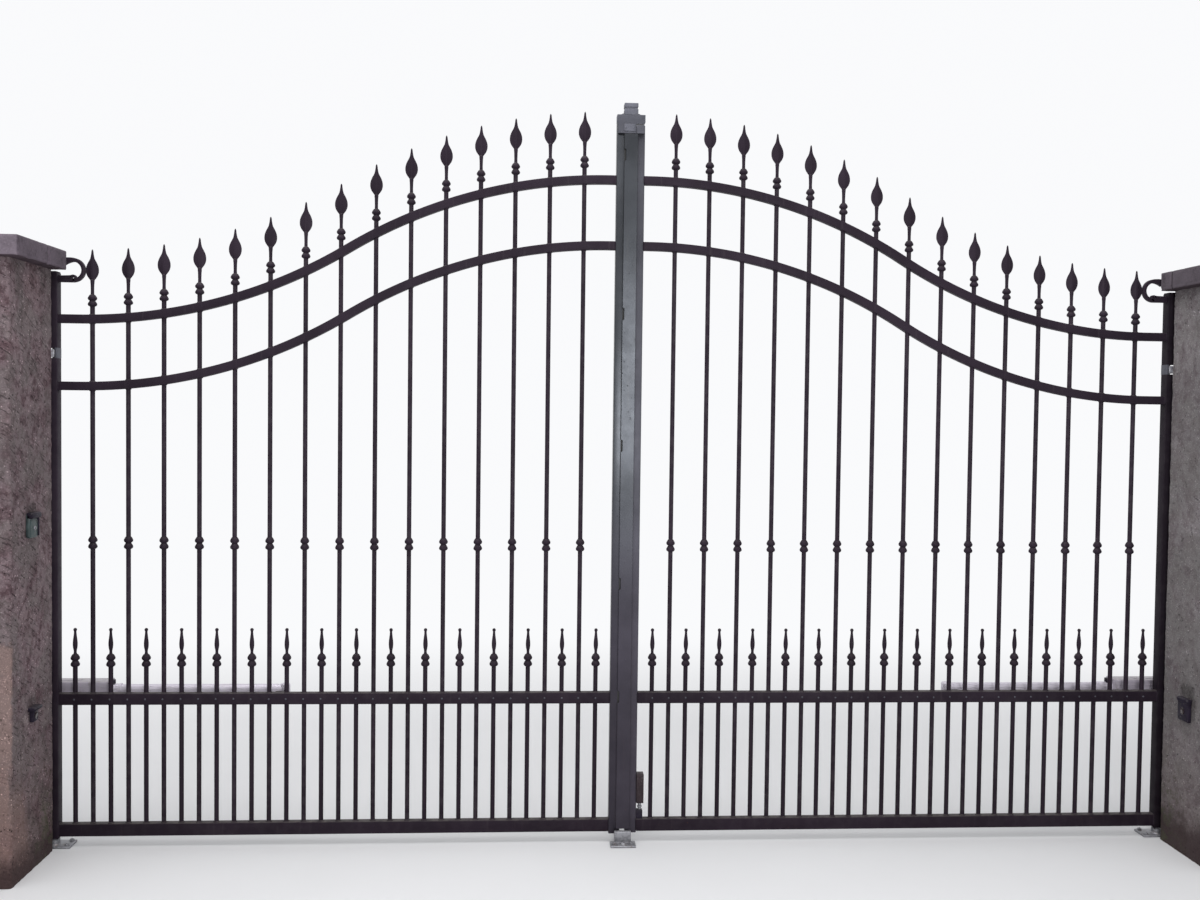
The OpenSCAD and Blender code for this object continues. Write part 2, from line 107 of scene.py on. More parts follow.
KEY_SWITCH_W = 0.068
# Hood's width, body's width, hood's depth and height
PHOTOCELL_SHAPES = {"left": (0.062, 0.036, 0.0238, 0.012), "right": (0.068, 0.064, 0.0175, 0.016)}
# Where the joint runs across each cap slab, from the gate's plane
CAP_JOINT_Y = {"left": -0.180, "right": -0.097}


def stations(node):
    """The separate upright solids of a node: their middle in x, their lowest and their highest point."""
    spots = sorted((v.co.x, v.co.z) for v in frame["nodes"][node].data.vertices)
    groups = [[spots[0]]]
    for spot in spots[1:]:
        if spot[0] - groups[-1][-1][0] > 0.006:
            groups.append([])
        groups[-1].append(spot)
    found = []
    for group in groups:
        heights = [z for x, z in group]
        found.append(((group[0][0] + group[-1][0]) / 2, min(heights), max(heights)))
    return found


# Shapes: every one is a skin over rings of points

X_AXIS, Y_AXIS, Z_AXIS = Vector((1, 0, 0)), Vector((0, 1, 0)), Vector((0, 0, 1))


def circle(r, steps, turn=0.0):
    return [(r * math.cos(turn + math.tau * i / steps), r * math.sin(turn + math.tau * i / steps))
            for i in range(steps)]


def arc(r, first, last, y=0.0):
    """Points of an arc from the first angle to the last one, in degrees, its centre y away."""
    angles = [math.radians(a) for a in range(first, last + 1, 15)]
    return [(r * math.cos(a), y + r * math.sin(a)) for a in angles]


def rounded(w, h, r, steps=3):
    """Outline of a rectangle with round corners, about its middle."""
    r = min(r, w / 2 * 0.98, h / 2 * 0.98)
    points = []
    for corner, (sx, sy) in enumerate(((1, 1), (-1, 1), (-1, -1), (1, -1))):
        for i in range(steps + 1):
            a = math.radians(90 * corner + 90 * i / steps)
            points.append((sx * (w / 2 - r) + r * math.cos(a), sy * (h / 2 - r) + r * math.sin(a)))
    return points


def inset(outline, d):
    """The same outline drawn in by d, corner by corner."""
    area = sum(a[0] * b[1] - b[0] * a[1] for a, b in zip(outline, outline[1:] + outline[:1]))
    turn = 1 if area > 0 else -1
    result = []
    for before, here, after in zip(outline[-1:] + outline[:-1], outline, outline[1:] + outline[:1]):
        n = []
        for p, q in ((before, here), (here, after)):
            length = math.hypot(q[0] - p[0], q[1] - p[1]) or 1.0
            n.append((-(q[1] - p[1]) / length * turn, (q[0] - p[0]) / length * turn))
        share = max(1 + n[0][0] * n[1][0] + n[0][1] * n[1][1], 0.35)
        result.append((here[0] + d * (n[0][0] + n[1][0]) / share, here[1] + d * (n[0][1] + n[1][1]) / share))
    return result


class Form:
    """A mesh under construction, in metres and in the row's frame."""

    def __init__(self):
        self.points, self.faces = [], []

    def skin(self, rings, ring_shaped=False):
        """Covers rings of points, with a face on both ends or, when ring_shaped, back into the first ring."""
        base, n = len(self.points), len(rings[0])
        last = base + (len(rings) - 1) * n
        for ring in rings:
            self.points.extend(ring)
        for low in range(base, last, n):
            for i in range(n):
                j = (i + 1) % n
                self.faces.append((low + i, low + j, low + n + j, low + n + i))
        if ring_shaped:
            self.faces.extend((last + i, last + (i + 1) % n, base + (i + 1) % n, base + i) for i in range(n))
            return
        self.faces.append(tuple(range(base + n - 1, base - 1, -1)))
        self.faces.append(tuple(range(last, last + n)))

    def prism(self, outline, origin, u, v, w, depth, edge=0.0015, bore_r=0, floor=0):
        """An outline in the directions u and v, carried along w, with eased edges.

        A bore goes from its far end down to the floor, or right through where the floor is 0."""
        origin = Vector(origin)
        edge = min(edge, depth / 2.1)
        eased = ((edge, 0), (edge * 0.3, edge * 0.3), (0, edge), (0, depth - edge),
                 (edge * 0.3, depth - edge * 0.3), (edge, depth))
        levels = [(inset(outline, d), height) for d, height in eased]
        if bore_r:
            hole = circle(bore_r, len(outline), math.pi / len(outline))
            levels += [(hole, depth), (hole, floor)]
        rings = [[origin + u * p[0] + v * p[1] + w * height for p in ring] for ring, height in levels]
        self.skin(rings, bool(bore_r) and not floor)

    def box(self, one, other, edge=0.0015, corner=None):
        """A box between two opposite corners, drawn along its longest side."""
        lo, hi = Vector(map(min, one, other)), Vector(map(max, one, other))
        size = hi - lo
        a, b, c = sorted(range(3), key=lambda k: size[k])
        unit = (X_AXIS, Y_AXIS, Z_AXIS)
        origin = (lo + hi) / 2 - unit[c] * size[c] / 2
        outline = rounded(size[a], size[b], corner or edge)
        self.prism(outline, origin, unit[a], unit[b], unit[c], size[c], edge)

    def lathe(self, origin, axis, profile, steps=16, turn=0.0, ring_shaped=False):
        """A turned shape: the profile is pairs of radius and height along the axis."""
        origin, axis = Vector(origin), axis.normalized()
        u = X_AXIS if abs(axis.z) > 0.99 else axis.orthogonal().normalized()
        v = axis.cross(u)
        self.skin([[origin + axis * height + u * x + v * y for x, y in circle(max(r, 0.00005), steps, turn)]
                   for r, height in profile], ring_shaped)

    def rod(self, start, end, r, edge=0.001, steps=16):
        length = (end - start).length
        edge = min(edge, length / 2.1, r / 1.5)
        profile = ((r - edge, 0), (r, edge), (r, length - edge), (r - edge, length))
        self.lathe(start, end - start, profile, steps)

    def dome(self, origin, axis, r, height, steps=12):
        angles = [math.radians(a) for a in (25, 50, 72, 90)]
        curve = [(r * math.cos(a), height * math.sin(a)) for a in angles]
        self.lathe(origin, axis, [(r, -0.0005), (r, 0)] + curve, steps)

    def bolt(self, origin, axis, r, turn=0.0):
        """A hexagon head on a washer, with the end of its thread."""
        tall = r * 0.8
        washer = ((r * 1.1, 0), (r * 1.25, r * 0.06), (r * 1.25, r * 0.2), (r * 1.1, r * 0.24))
        self.lathe(origin, axis, washer, 20)
        head = ((r * 0.98, r * 0.24), (r, r * 0.3), (r, tall * 0.92), (r * 0.86, tall * 1.05))
        self.lathe(origin, axis, head, 6, turn)
        self.lathe(origin, axis, ((r * 0.5, tall), (r * 0.5, tall * 1.25), (r * 0.38, tall * 1.38)), 14)

    def bolts(self, xs, ys, zs, axis, r, turn):
        """Bolts at every meeting of these coordinates."""
        for x in xs:
            for y in ys:
                for z in zs:
                    self.bolt((x, y, z), axis, r, turn)

    def weld(self, start, end, r, seed=1):
        """A weld bead with ripples, laid from start to end."""
        run = Vector(end) - Vector(start)
        dice = random.Random(seed)
        count = max(4, int(run.length / (r * 0.9)))
        profile = [(r * 0.4, 0)]
        for i in range(1, count):
            swell = 1.0 if i % 2 else 0.86
            profile.append((r * swell * dice.uniform(0.94, 1.04), run.length * i / count))
        profile.append((r * 0.4, run.length))
        self.lathe(start, run, profile, 7)

    def weld_ring(self, origin, axis, r, size, seed=1):
        """A small weld fillet round a bar."""
        dice = random.Random(seed)
        up = axis.normalized()
        u = up.orthogonal().normalized()
        v = up.cross(u)
        rings = []
        for reach, height in ((0.0, -0.3), (1.0, 0.0), (0.75, 0.55), (0.0, 1.0)):
            ring = []
            for i in range(14):
                a = math.tau * i / 14
                wide = r + size * reach * (1 + 0.18 * math.sin(3 * a + seed) + dice.uniform(-0.08, 0.08))
                ring.append(Vector(origin) + up * size * height + (u * math.cos(a) + v * math.sin(a)) * wide)
            rings.append(ring)
        self.skin(rings)

    def sweep(self, path, half_w, half_d, edge=0.002, taper=lambda u: 1.0):
        """A flat bar bent in the plane of the leaf: path is pairs of x and z, already in the row's frame."""
        rings = []
        last = len(path) - 1
        for i, (x, z) in enumerate(path):
            before, after = path[max(i - 1, 0)], path[min(i + 1, last)]
            along = Vector((after[0] - before[0], 0, after[1] - before[1])).normalized()
            across = Vector((along.z, 0, -along.x))
            outline = rounded(2 * half_w * taper(i / last), 2 * half_d, edge, 2)
            spot = Vector((x, GATE.y, z))
            ring = [spot + across * a + Y_AXIS * b for a, b in outline]
            push = along * (-edge if i == 0 else edge)
            small = [spot + across * a + Y_AXIS * b + push for a, b in inset(outline, edge * 0.8)]
            rings += [small] * (i == 0) + [ring] + [small] * (i == last)
        self.skin(rings)

    def place(self, name, body, finish, *replaced, angle=32):
        """Makes the object with its finish, hands it to the frame and empties the form for the next one."""
        slot, material = finishes()[finish]
        mesh = bpy.data.meshes.new(name)
        mesh.from_pydata([tuple(p) for p in self.points], [], self.faces)
        work = bmesh.new()
        work.from_mesh(mesh)
        bmesh.ops.recalc_face_normals(work, faces=work.faces)
        work.to_mesh(mesh)
        work.free()
        for face in mesh.polygons:
            face.use_smooth = True
        mesh.set_sharp_from_angle(angle=math.radians(angle))
        mesh.materials.append(material)
        piece = bpy.data.objects.new(name, mesh)
        bpy.context.scene.collection.objects.link(piece)
        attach(piece, body)
        if replaced:
            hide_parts(*replaced)
        self.points, self.faces = [], []


# Materials: a sheet of nodes for each finish


class Sheet:
    """A sheet of nodes, filled one node at a time."""

    def __init__(self, owner, kind):
        owner.use_nodes = True
        self.tree = owner.node_tree
        self.tree.nodes.clear()
        self.surface = self.tree.nodes.new(kind).inputs["Surface"]

    def add(self, kind, inputs, output=0, **settings):
        """Adds a node, with sockets linked and other values set, and returns one of its outputs."""
        node = self.tree.nodes.new(kind)
        for key, value in settings.items():
            setattr(node, key, value)
        for key, value in inputs.items():
            self.give(node.inputs[key], value)
        return node.outputs[output]

    def give(self, socket, value):
        if isinstance(value, bpy.types.NodeSocket):
            self.tree.links.new(value, socket)
        else:
            socket.default_value = value

    def math(self, operation, a, b=0.0, clamp=False):
        return self.add("ShaderNodeMath", {0: a, 1: b}, operation=operation, use_clamp=clamp)

    def both(self, a, b, clamp=False):
        return self.math("MULTIPLY", a, b, clamp)

    def plus(self, a, b, clamp=False):
        return self.math("ADD", a, b, clamp)

    def minus(self, a, b):
        return self.math("SUBTRACT", a, b)

    def either(self, a, b):
        return self.math("MAXIMUM", a, b)

    def seen_directly(self):
        """1 for the rays that see the backdrop itself: from the camera, off a gloss or through glass."""
        rays = self.tree.nodes.new("ShaderNodeLightPath").outputs
        seen = self.either(rays["Is Camera Ray"], rays["Is Glossy Ray"])
        return self.either(seen, rays["Is Transmission Ray"])


class Finish(Sheet):
    """One material, built from procedural nodes in the row's own coordinates."""

    def __init__(self, name):
        self.material = bpy.data.materials.new(name)
        super().__init__(self.material, "ShaderNodeOutputMaterial")
        self.shader = self.tree.nodes.new("ShaderNodeBsdfPrincipled")
        self.give(self.surface, self.shader.outputs[0])
        self.here = self.tree.nodes.new("ShaderNodeTexCoord").outputs["Object"]
        geometry = self.tree.nodes.new("ShaderNodeNewGeometry")
        self.normal = geometry.outputs["Normal"]
        self.edge = geometry.outputs["Pointiness"]

    def vector(self, operation, a, b=(0, 0, 0), output=0, scale=1.0):
        second = {"Scale": scale} if operation == "SCALE" else {1: b}
        return self.add("ShaderNodeVectorMath", {0: a, **second}, output, operation=operation)

    def shifted(self, x, y, z):
        return self.vector("ADD", self.here, (x, y, z))

    def stretch(self, x, y, z, where=None):
        return self.vector("MULTIPLY", where or self.here, (x, y, z))

    def noise(self, scale, detail=3, rough=0.55, where=None, output=0):
        inputs = {"Vector": where or self.here, "Scale": scale, "Detail": detail, "Roughness": rough}
        return self.add("ShaderNodeTexNoise", inputs, output)

    def cells(self, scale, where=None, output="Distance"):
        return self.add("ShaderNodeTexVoronoi", {"Vector": where or self.here, "Scale": scale}, output)

    def axis(self, letter, where=None):
        return self.add("ShaderNodeSeparateXYZ", {0: where or self.here}, "XYZ".index(letter))

    def ease(self, value, low, high, to_low=0.0, to_high=1.0):
        """A smooth change from to_low to to_high while the value goes from low to high."""
        inputs = {"Value": value, "From Min": low, "From Max": high, "To Min": to_low, "To Max": to_high}
        return self.add("ShaderNodeMapRange", inputs, interpolation_type="SMOOTHSTEP")

    def fade(self, value, low, high):
        return self.ease(value, low, high, 1, 0)

    def up(self, low=0.5, high=0.95):
        return self.ease(self.axis("Z", self.normal), low, high)

    def start(self, share, first, second):
        """The finish's own colour: the first one, and the second where the share says so."""
        self.colour = (*first, 1.0)
        self.mix(share, second)

    def mix(self, share, colour, blend="MIX"):
        """Lays a colour over the finish where the share says so."""
        inputs = {0: share, 6: self.colour, 7: (*colour, 1.0)}
        self.colour = self.add("ShaderNodeMix", inputs, 2, data_type="RGBA", blend_type=blend)

    def dim(self, share, factor):
        """Makes the finish darker or lighter by the factor where the share says so."""
        self.mix(share, factor if isinstance(factor, tuple) else (factor,) * 3, "MULTIPLY")

    def bump(self, height, distance, strength=1.0, **under):
        """A relief of this height, over another relief when that is given as Normal."""
        inputs = {"Height": height, "Distance": distance, "Strength": strength, **under}
        return self.add("ShaderNodeBump", inputs)

    def finish(self, roughness, normal=None, **constants):
        """Hands colour, roughness and relief to the shader, and sets other values of it."""
        self.give(self.shader.inputs["Base Color"], self.colour)
        self.give(self.shader.inputs["Roughness"], roughness)
        if normal:
            self.give(self.shader.inputs["Normal"], normal)
        for key, value in constants.items():
            self.shader.inputs[key.replace("_", " ")].default_value = value
        return self.material


def tint(colour, share):
    return tuple(min(c * share, 1.0) for c in colour)


def iron_paint(name, base, metallic, rough, dust=0.3, rust=0.3, spread=0.12, crown=1.0, painted_reflection_tint=0.0):
    """Dark micaceous paint: flake, dust on what faces up, dirt near the ground, rust where water stands.

    The spread is the unevenness of its sheen, crown is what its tone falls to at the gate's top, a painted
    shade, and painted_reflection_tint is how far it turns from purple to grey at eye level, a painted
    reflection of the sky."""
    f = Finish(name)
    z = f.axis("Z")
    f.start(f.ease(f.noise(4, 4, 0.6), 0.32, 0.7), tint(base, 0.84), tint(base, 1.18))
    flake = f.noise(1400, 2, 0.7)
    f.dim(f.ease(flake, 0.52, 0.72, 0, 0.4), 2)
    streaks = f.noise(1, 5, 0.6, f.stretch(60, 60, 2.2))
    f.mix(f.ease(streaks, 0.56, 0.78, 0, 0.2), (0.085, 0.072, 0.080))
    f.dim(f.fade(z, 0.05, 1.35), (0.74, 0.70, 0.72))
    # Painted shade: the tone falls by the crown factor towards the gate's top.
    f.dim(f.ease(z, 1.62, 2.10), crown)
    # Painted reflection of the sky: from eye level up the purple turns to grey.
    f.dim(f.both(f.ease(z, 0.70, 1.35), painted_reflection_tint), (0.90, 1.03, 0.92))
    dusty = f.both(f.up(0.35, 0.95), f.ease(f.noise(45, 5, 0.7), 0.3, 0.65, 0.25 * dust, dust))
    f.mix(dusty, (0.24, 0.22, 0.2))
    worn = f.both(f.ease(f.edge, 0.53, 0.62), f.ease(f.noise(30, 4), 0.42, 0.62, 0, 0.10))
    f.mix(worn, (0.15, 0.135, 0.14))
    specks = f.ease(f.noise(75, 6, 0.75), 0.63, 0.70)
    rusty = f.both(f.both(specks, f.ease(z, 0, 0.55, 1, 0.1)), rust, True)
    f.mix(rusty, (0.15, 0.055, 0.025))
    sheen = f.ease(f.noise(22, 4, 0.6), 0.3, 0.7, rough, rough + spread)
    sheen = f.plus(sheen, f.both(f.plus(dusty, rusty), 0.3), True)
    skin = f.bump(f.noise(260, 3, 0.5), 0.0005, 0.3)
    blister = f.bump(specks, 0.0008, 0.4, Normal=skin)
    return f.finish(sheen, blister, Metallic=metallic, Specular_IOR_Level=0.08)


def segment_mask(f, where, mark):
    """1 along a straight mark on a reveal and 0 away from it."""
    side, y0, z0, y1, z1, width = mark[:6]
    start = Vector((REVEAL_X[side], GATE.y + y0, z0))
    run = Vector((REVEAL_X[side], GATE.y + y1, z1)) - start
    away = f.vector("SUBTRACT", where, tuple(start))
    dot = f.vector("DOT_PRODUCT", away, tuple(run), "Value")
    share = f.both(dot, 1 / run.length_squared, True)
    foot = f.vector("SCALE", tuple(run), scale=share)
    gap = f.vector("LENGTH", f.vector("SUBTRACT", away, foot), output="Value")
    return f.fade(gap, width * 0.35, width)


# Scratches in the plaster of the reveals: side, y and z of both ends from the gate's plane, and width
SCRATCHES = (
    ("left", -0.245, 1.735, -0.165, 1.668, 0.0026),
    ("left", -0.105, 1.664, -0.060, 1.690, 0.0022),
    ("left", -0.205, 1.610, -0.150, 1.575, 0.0022),
    ("left", -0.230, 0.905, -0.150, 0.830, 0.0028),
    ("left", -0.180, 0.520, -0.085, 0.470, 0.0024),
    ("left", -0.120, 1.120, -0.070, 1.085, 0.0022),
    ("right", -0.150, 0.345, -0.075, 0.318, 0.0022),
    ("right", -0.200, 0.328, -0.150, 0.345, 0.0018),
)

# Soft patches round the devices, in the same way, with the factor that darkens or lightens the plaster
DEVICE_PATCHES = (
    ("left", -0.262, 0.520, -0.256, 0.500, 0.020, 1.7),
    ("left", -0.235, 0.562, -0.200, 0.566, 0.026, 0.62),
    ("left", -0.240, 1.206, -0.195, 1.210, 0.026, 0.60),
    ("right", -0.215, 0.585, -0.175, 0.585, 0.034, 0.55),
    ("right", -0.232, 0.560, -0.236, 0.500, 0.020, 0.66),
)

# How the left pillar's plaster differs from the right one's, in red, green and blue
LEFT_PLASTER = (1.00, 0.82, 0.86)


def repair_patch(f, y, z):
    """1 on the beige repair at the left pillar's street corner, which widens over the reveal at its foot."""
    ragged = f.both(f.minus(f.noise(26, 4), 0.5), 0.05)
    wavy = f.both(f.minus(f.noise(5, 5, 0.65), 0.5), 0.42)
    below = f.fade(f.plus(z, wavy), 0.74, 0.78)
    street = f.both(f.fade(y, -0.374, -0.371), below)
    edge = f.fade(f.plus(y, f.plus(ragged, f.both(wavy, 0.06))), -0.370, -0.352)
    upper = f.both(below, f.ease(z, 0.28, 0.47))
    slant = f.plus(f.plus(y, ragged), f.both(z, 0.251))
    lower = f.both(f.ease(slant, -0.250, -0.180, 0.75, 0), f.fade(z, 0.22, 0.37))
    return f.either(f.either(f.both(edge, upper), street), lower)


def plaster_material(s):
    """Thrown plaster: mottled and stained on the left, smoother and greyer on the right."""
    f = Finish("rough_cast_plaster")
    x, z = f.axis("X"), f.axis("Z")
    y = f.minus(f.axis("Y"), GATE.y)
    base = tuple(s.plaster_colour)
    left = f.fade(x, 1, 2.5)
    rougher = f.ease(x, 1, 2.5, 1, 0.6)
    mottle = f.noise(17, 5, 0.65)
    f.start(left, base, tuple(a * b for a, b in zip(base, LEFT_PLASTER)))
    f.dim(f.fade(f.noise(3.2, 5, 0.62), 0.35, 0.68), 0.78)
    f.dim(f.both(f.ease(mottle, 0.44, 0.64), rougher), (0.62, 0.55, 0.57))
    f.dim(f.both(f.ease(f.noise(48, 4, 0.6), 0.48, 0.60), rougher), (0.62, 0.57, 0.58))
    brown = f.both(f.ease(f.noise(6.5, 6, 0.7), 0.52, 0.68), left)
    f.dim(f.both(brown, 0.3), (0.86, 0.72, 0.70))
    tinge = f.ease(f.noise(8, 3, 0.6, f.shifted(9, 2, 5)), 0.40, 0.60)
    f.mix(f.both(tinge, 0.4), (0.142, 0.134, 0.128))
    along = f.plus(y, x)
    across = f.plus(z, f.both(along, 0.5))
    diagonal = f.add("ShaderNodeCombineXYZ", {0: f.both(along, 22), 1: f.both(across, 120)})
    dashes = f.both(f.ease(f.noise(1, 2, 0.5, diagonal), 0.60, 0.66), left)
    f.dim(f.both(dashes, 0.85), 0.42)
    repair = f.both(repair_patch(f, y, z), left)
    f.mix(f.both(repair, 0.8), (0.245, 0.172, 0.158))
    light = f.both(f.fade(f.cells(88), 0.16, 0.30), f.ease(f.noise(30, 3), 0.47, 0.60))
    f.dim(f.both(light, rougher), 2.6)
    fine = f.ease(f.noise(230, 3, 0.6), 0.54, 0.66)
    f.dim(f.both(fine, 0.8), 1.7)
    pits = f.fade(f.cells(70, f.shifted(3.1, 1.7, 0.4)), 0.14, 0.30)
    pits = f.both(pits, f.ease(f.noise(24, where=f.shifted(7, 3, 2)), 0.50, 0.60))
    f.dim(f.both(pits, rougher), 0.25)
    runs = f.ease(f.noise(1, 5, 0.6, f.stretch(34, 34, 1.6)), 0.50, 0.68)
    f.dim(f.both(runs, f.ease(z, 1.60, 2, 0, 0.3)), 0.5)
    rim = f.plus(z, f.both(f.noise(14, 5, 0.7), 0.16))
    rim = f.minus(rim, f.ease(x, 1, 2.5, 0, 0.035))
    splash = f.fade(rim, 0.12, 0.21)
    foot = f.ease(f.plus(z, f.both(mottle, 0.5)), 0.3, 0.85, 0.5, 0)
    f.dim(foot, (0.62, 0.50, 0.46))
    f.mix(f.both(splash, 0.85), (0.036, 0.021, 0.022))
    damp = f.both(f.fade(z, 0.06, 0.42), f.ease(y, -0.24, -0.10))
    moss = f.both(f.ease(f.noise(24, 6, 0.7), 0.46, 0.60), damp)
    f.mix(f.both(moss, 0.5), (0.072, 0.080, 0.046))
    jitter = f.vector("SUBTRACT", f.noise(70, 3, 0.5, output="Color"), (0.5, 0.5, 0.5))
    where = f.vector("ADD", f.here, f.vector("SCALE", jitter, scale=0.006))
    marks = 0.0
    for scratch in SCRATCHES:
        marks = f.either(segment_mask(f, where, scratch), marks)
    f.mix(f.both(marks, 0.85), (0.018, 0.014, 0.014))
    # Darker and lighter patches round the devices.
    for stain in DEVICE_PATCHES:
        f.dim(segment_mask(f, where, stain), stain[-1])
    grain = f.bump(f.noise(150, 5, 0.7), 0.0045, 0.7)
    grit = f.bump(f.minus(light, pits), 0.003, 0.8, Normal=grain)
    cut = f.bump(f.minus(0, f.either(marks, dashes)), 0.002, 0.8, Normal=grit)
    return f.finish(f.ease(mottle, 0.3, 0.7, 0.86, 0.97), cut, Specular_IOR_Level=0.2)


def stone_material(s):
    """Pale weathered stone, with grime on top, lichen and the joint across,
    and painted shade on its underside and on the sides facing along the row.
    """
    f = Finish("weathered_cap_stone")
    base = tuple(s.stone_colour)
    clouds = f.noise(6, 6, 0.65)
    f.start(f.ease(clouds, 0.34, 0.68), tint(base, 0.78), tint(base, 1.18))
    fine = f.noise(120, 4, 0.7)
    f.mix(f.ease(fine, 0.45, 0.7, 0, 0.6), tint(base, 1.5))
    dark = f.ease(f.noise(28, 6, 0.75), 0.52, 0.68)
    f.mix(f.both(dark, 0.6), tint(base, 0.35))
    lichen = f.ease(f.noise(46, 5, 0.7, f.shifted(4, 4, 4)), 0.60, 0.66)
    f.mix(f.both(f.both(lichen, f.up(0.2, 0.9)), 0.6), (0.30, 0.31, 0.23))
    grime = f.both(f.up(0.3, 0.95), f.ease(clouds, 0.3, 0.6, 0.15, 0.6))
    f.mix(grime, tint(base, 0.55))
    lip = f.fade(f.axis("Z"), 2.020, 2.026)
    f.mix(f.both(lip, 0.35), tint(base, 1.5))
    # Painted shade on the sides that face along the row.
    sideways_painted_shade = f.ease(f.math("ABSOLUTE", f.axis("X", f.normal)), 0.5, 0.9)
    f.dim(sideways_painted_shade, (0.62, 0.60, 0.62))
    # Painted shade on the underside.
    below = f.fade(f.axis("Z", f.normal), -0.9, -0.5)
    f.dim(below, (0.30, 0.24, 0.26))
    right = f.ease(f.axis("X"), 1, 2.5)
    f.dim(right, (0.80, 0.83, 0.80))
    joint_y = f.ease(right, 0, 1, GATE.y + CAP_JOINT_Y["left"], GATE.y + CAP_JOINT_Y["right"])
    joint = f.math("ABSOLUTE", f.minus(f.axis("Y"), joint_y))
    joint = f.plus(joint, f.both(f.noise(60, 3), 0.003))
    f.dim(f.fade(joint, 0.0030, 0.0065), (0.30, 0.28, 0.30))
    pits = f.fade(f.cells(95), 0.1, 0.24)
    skin = f.bump(fine, 0.0016, 0.6)
    holes = f.bump(f.minus(0, pits), 0.0014, 0.6, Normal=skin)
    return f.finish(f.ease(fine, 0.3, 0.7, 0.8, 0.95), holes, Specular_IOR_Level=0.25)


def zinc_material(name, base, metallic):
    f = Finish(name)
    shade = f.axis("X", f.cells(130, output="Color"))
    f.start(f.ease(shade, 0, 1), tint(base, 0.8), tint(base, 1.12))
    bloom = f.ease(f.noise(50, 5, 0.7), 0.5, 0.66)
    f.mix(f.both(bloom, 0.45), tint(base, 1.25))
    stain = f.ease(f.noise(32, 6, 0.7, f.shifted(2, 5, 1)), 0.56, 0.68)
    f.mix(f.both(stain, 0.6), (0.13, 0.07, 0.04))
    return f.finish(f.ease(shade, 0, 1, 0.38, 0.56), f.bump(bloom, 0.0004, 0.4), Metallic=metallic)


def housing_material(s):
    f = Finish("pale_housing_paint")
    base = tuple(s.housing_colour)
    tone = f.noise(14, 4, 0.6)
    f.start(f.ease(tone, 0.35, 0.68), tint(base, 0.86), tint(base, 1.08))
    grime = f.ease(f.noise(1, 5, 0.65, f.stretch(55, 55, 18)), 0.5, 0.7)
    f.mix(f.both(grime, 0.45), (0.12, 0.105, 0.09))
    seams = f.ease(f.edge, 0.5, 0.43)
    f.mix(f.both(seams, 0.6), (0.05, 0.045, 0.04))
    f.mix(f.both(f.up(), 0.35), (0.30, 0.28, 0.25))
    skin = f.bump(f.noise(420, 2), 0.0004, 0.3)
    return f.finish(f.ease(tone, 0.3, 0.7, 0.34, 0.5), skin)


def tube_material(s):
    f = Finish("satin_drawn_tube")
    base = tuple(s.tube_colour)
    lines = f.noise(1, 4, 0.6, f.stretch(9, 1500, 1500))
    f.start(f.ease(lines, 0.3, 0.7), tint(base, 0.88), tint(base, 1.06))
    film = f.ease(f.noise(1, 5, 0.6, f.stretch(8, 60, 60)), 0.52, 0.72)
    f.mix(f.both(film, 0.35), (0.2, 0.18, 0.16))
    return f.finish(f.ease(lines, 0.3, 0.7, 0.34, 0.48), f.bump(lines, 0.0001, 0.25), Metallic=0.3)


def plastic_material(name, base, rough=0.5):
    f = Finish(name)
    tone = f.noise(30, 4, 0.6)
    f.start(f.ease(tone, 0.35, 0.7), tint(base, 0.75), tint(base, 1.25))
    dust = f.both(f.up(0.3, 0.95), f.ease(f.noise(80, 5), 0.35, 0.65, 0.05, 0.3))
    f.mix(dust, (0.15, 0.135, 0.14))
    spots = f.ease(f.noise(160, 3, 0.6), 0.62, 0.7)
    f.mix(f.both(spots, 0.4), (0.17, 0.16, 0.15))
    skin = f.bump(f.noise(900, 2), 0.0003, 0.4)
    return f.finish(f.ease(tone, 0.3, 0.7, rough - 0.08, rough + 0.1), skin, Specular_IOR_Level=0.15)


def switch_material(s):
    f = Finish("grey_green_switch_face")
    base = tuple(s.switch_colour)
    tone = f.noise(60, 4, 0.6)
    f.start(f.ease(tone, 0.35, 0.7), tint(base, 0.8), tint(base, 1.2))
    worn = f.ease(f.noise(110, 5, 0.7), 0.56, 0.66)
    f.mix(f.both(worn, 0.5), (0.14, 0.12, 0.11))
    return f.finish(f.ease(tone, 0.3, 0.7, 0.35, 0.55), f.bump(worn, 0.0004, 0.5), Metallic=0.2)


def lens_material():
    f = Finish("dark_lens")
    f.start(f.ease(f.noise(20, 2), 0.3, 0.7), (0.012, 0.006, 0.008), (0.03, 0.012, 0.014))
    return f.finish(0.12, Coat_Weight=0.6, Coat_Roughness=0.05)


# Black finish for pieces that stand in for shadow: the backs of the strip's slits and the key slot.
def painted_shadow_material():
    f = Finish("black_painted_shadow")
    tone = f.noise(60, 3)
    f.start(f.ease(tone, 0.35, 0.7), (0.012, 0.012, 0.013), (0.03, 0.028, 0.027))
    return f.finish(f.ease(tone, 0.3, 0.7, 0.6, 0.8), f.bump(tone, 0.0003, 0.4))


def floor_material(s):
    """A plain floor that fades into the backdrop away from the gate."""
    f = Finish("pale_studio_floor")
    away = f.stretch(0.42, 1, 1, f.vector("SUBTRACT", f.here, (GATE.x, GATE.y, 0)))
    away = f.vector("LENGTH", away, output="Value")
    base = tuple(s.floor_colour)
    f.start(f.ease(f.noise(2, 3), 0.3, 0.7), tint(base, 0.985), base)
    f.finish(0.75, Specular_IOR_Level=0.2)
    glow = f.add("ShaderNodeEmission", {"Color": (*s.backdrop_colour, 1.0)})
    seen = f.seen_directly()
    share = f.both(f.ease(away, s.floor_fade, s.floor_fade * 3.6), seen)
    f.give(f.surface, f.add("ShaderNodeMixShader", {0: share, 1: f.shader.outputs[0], 2: glow}))
    return f.material


FINISHES = {}


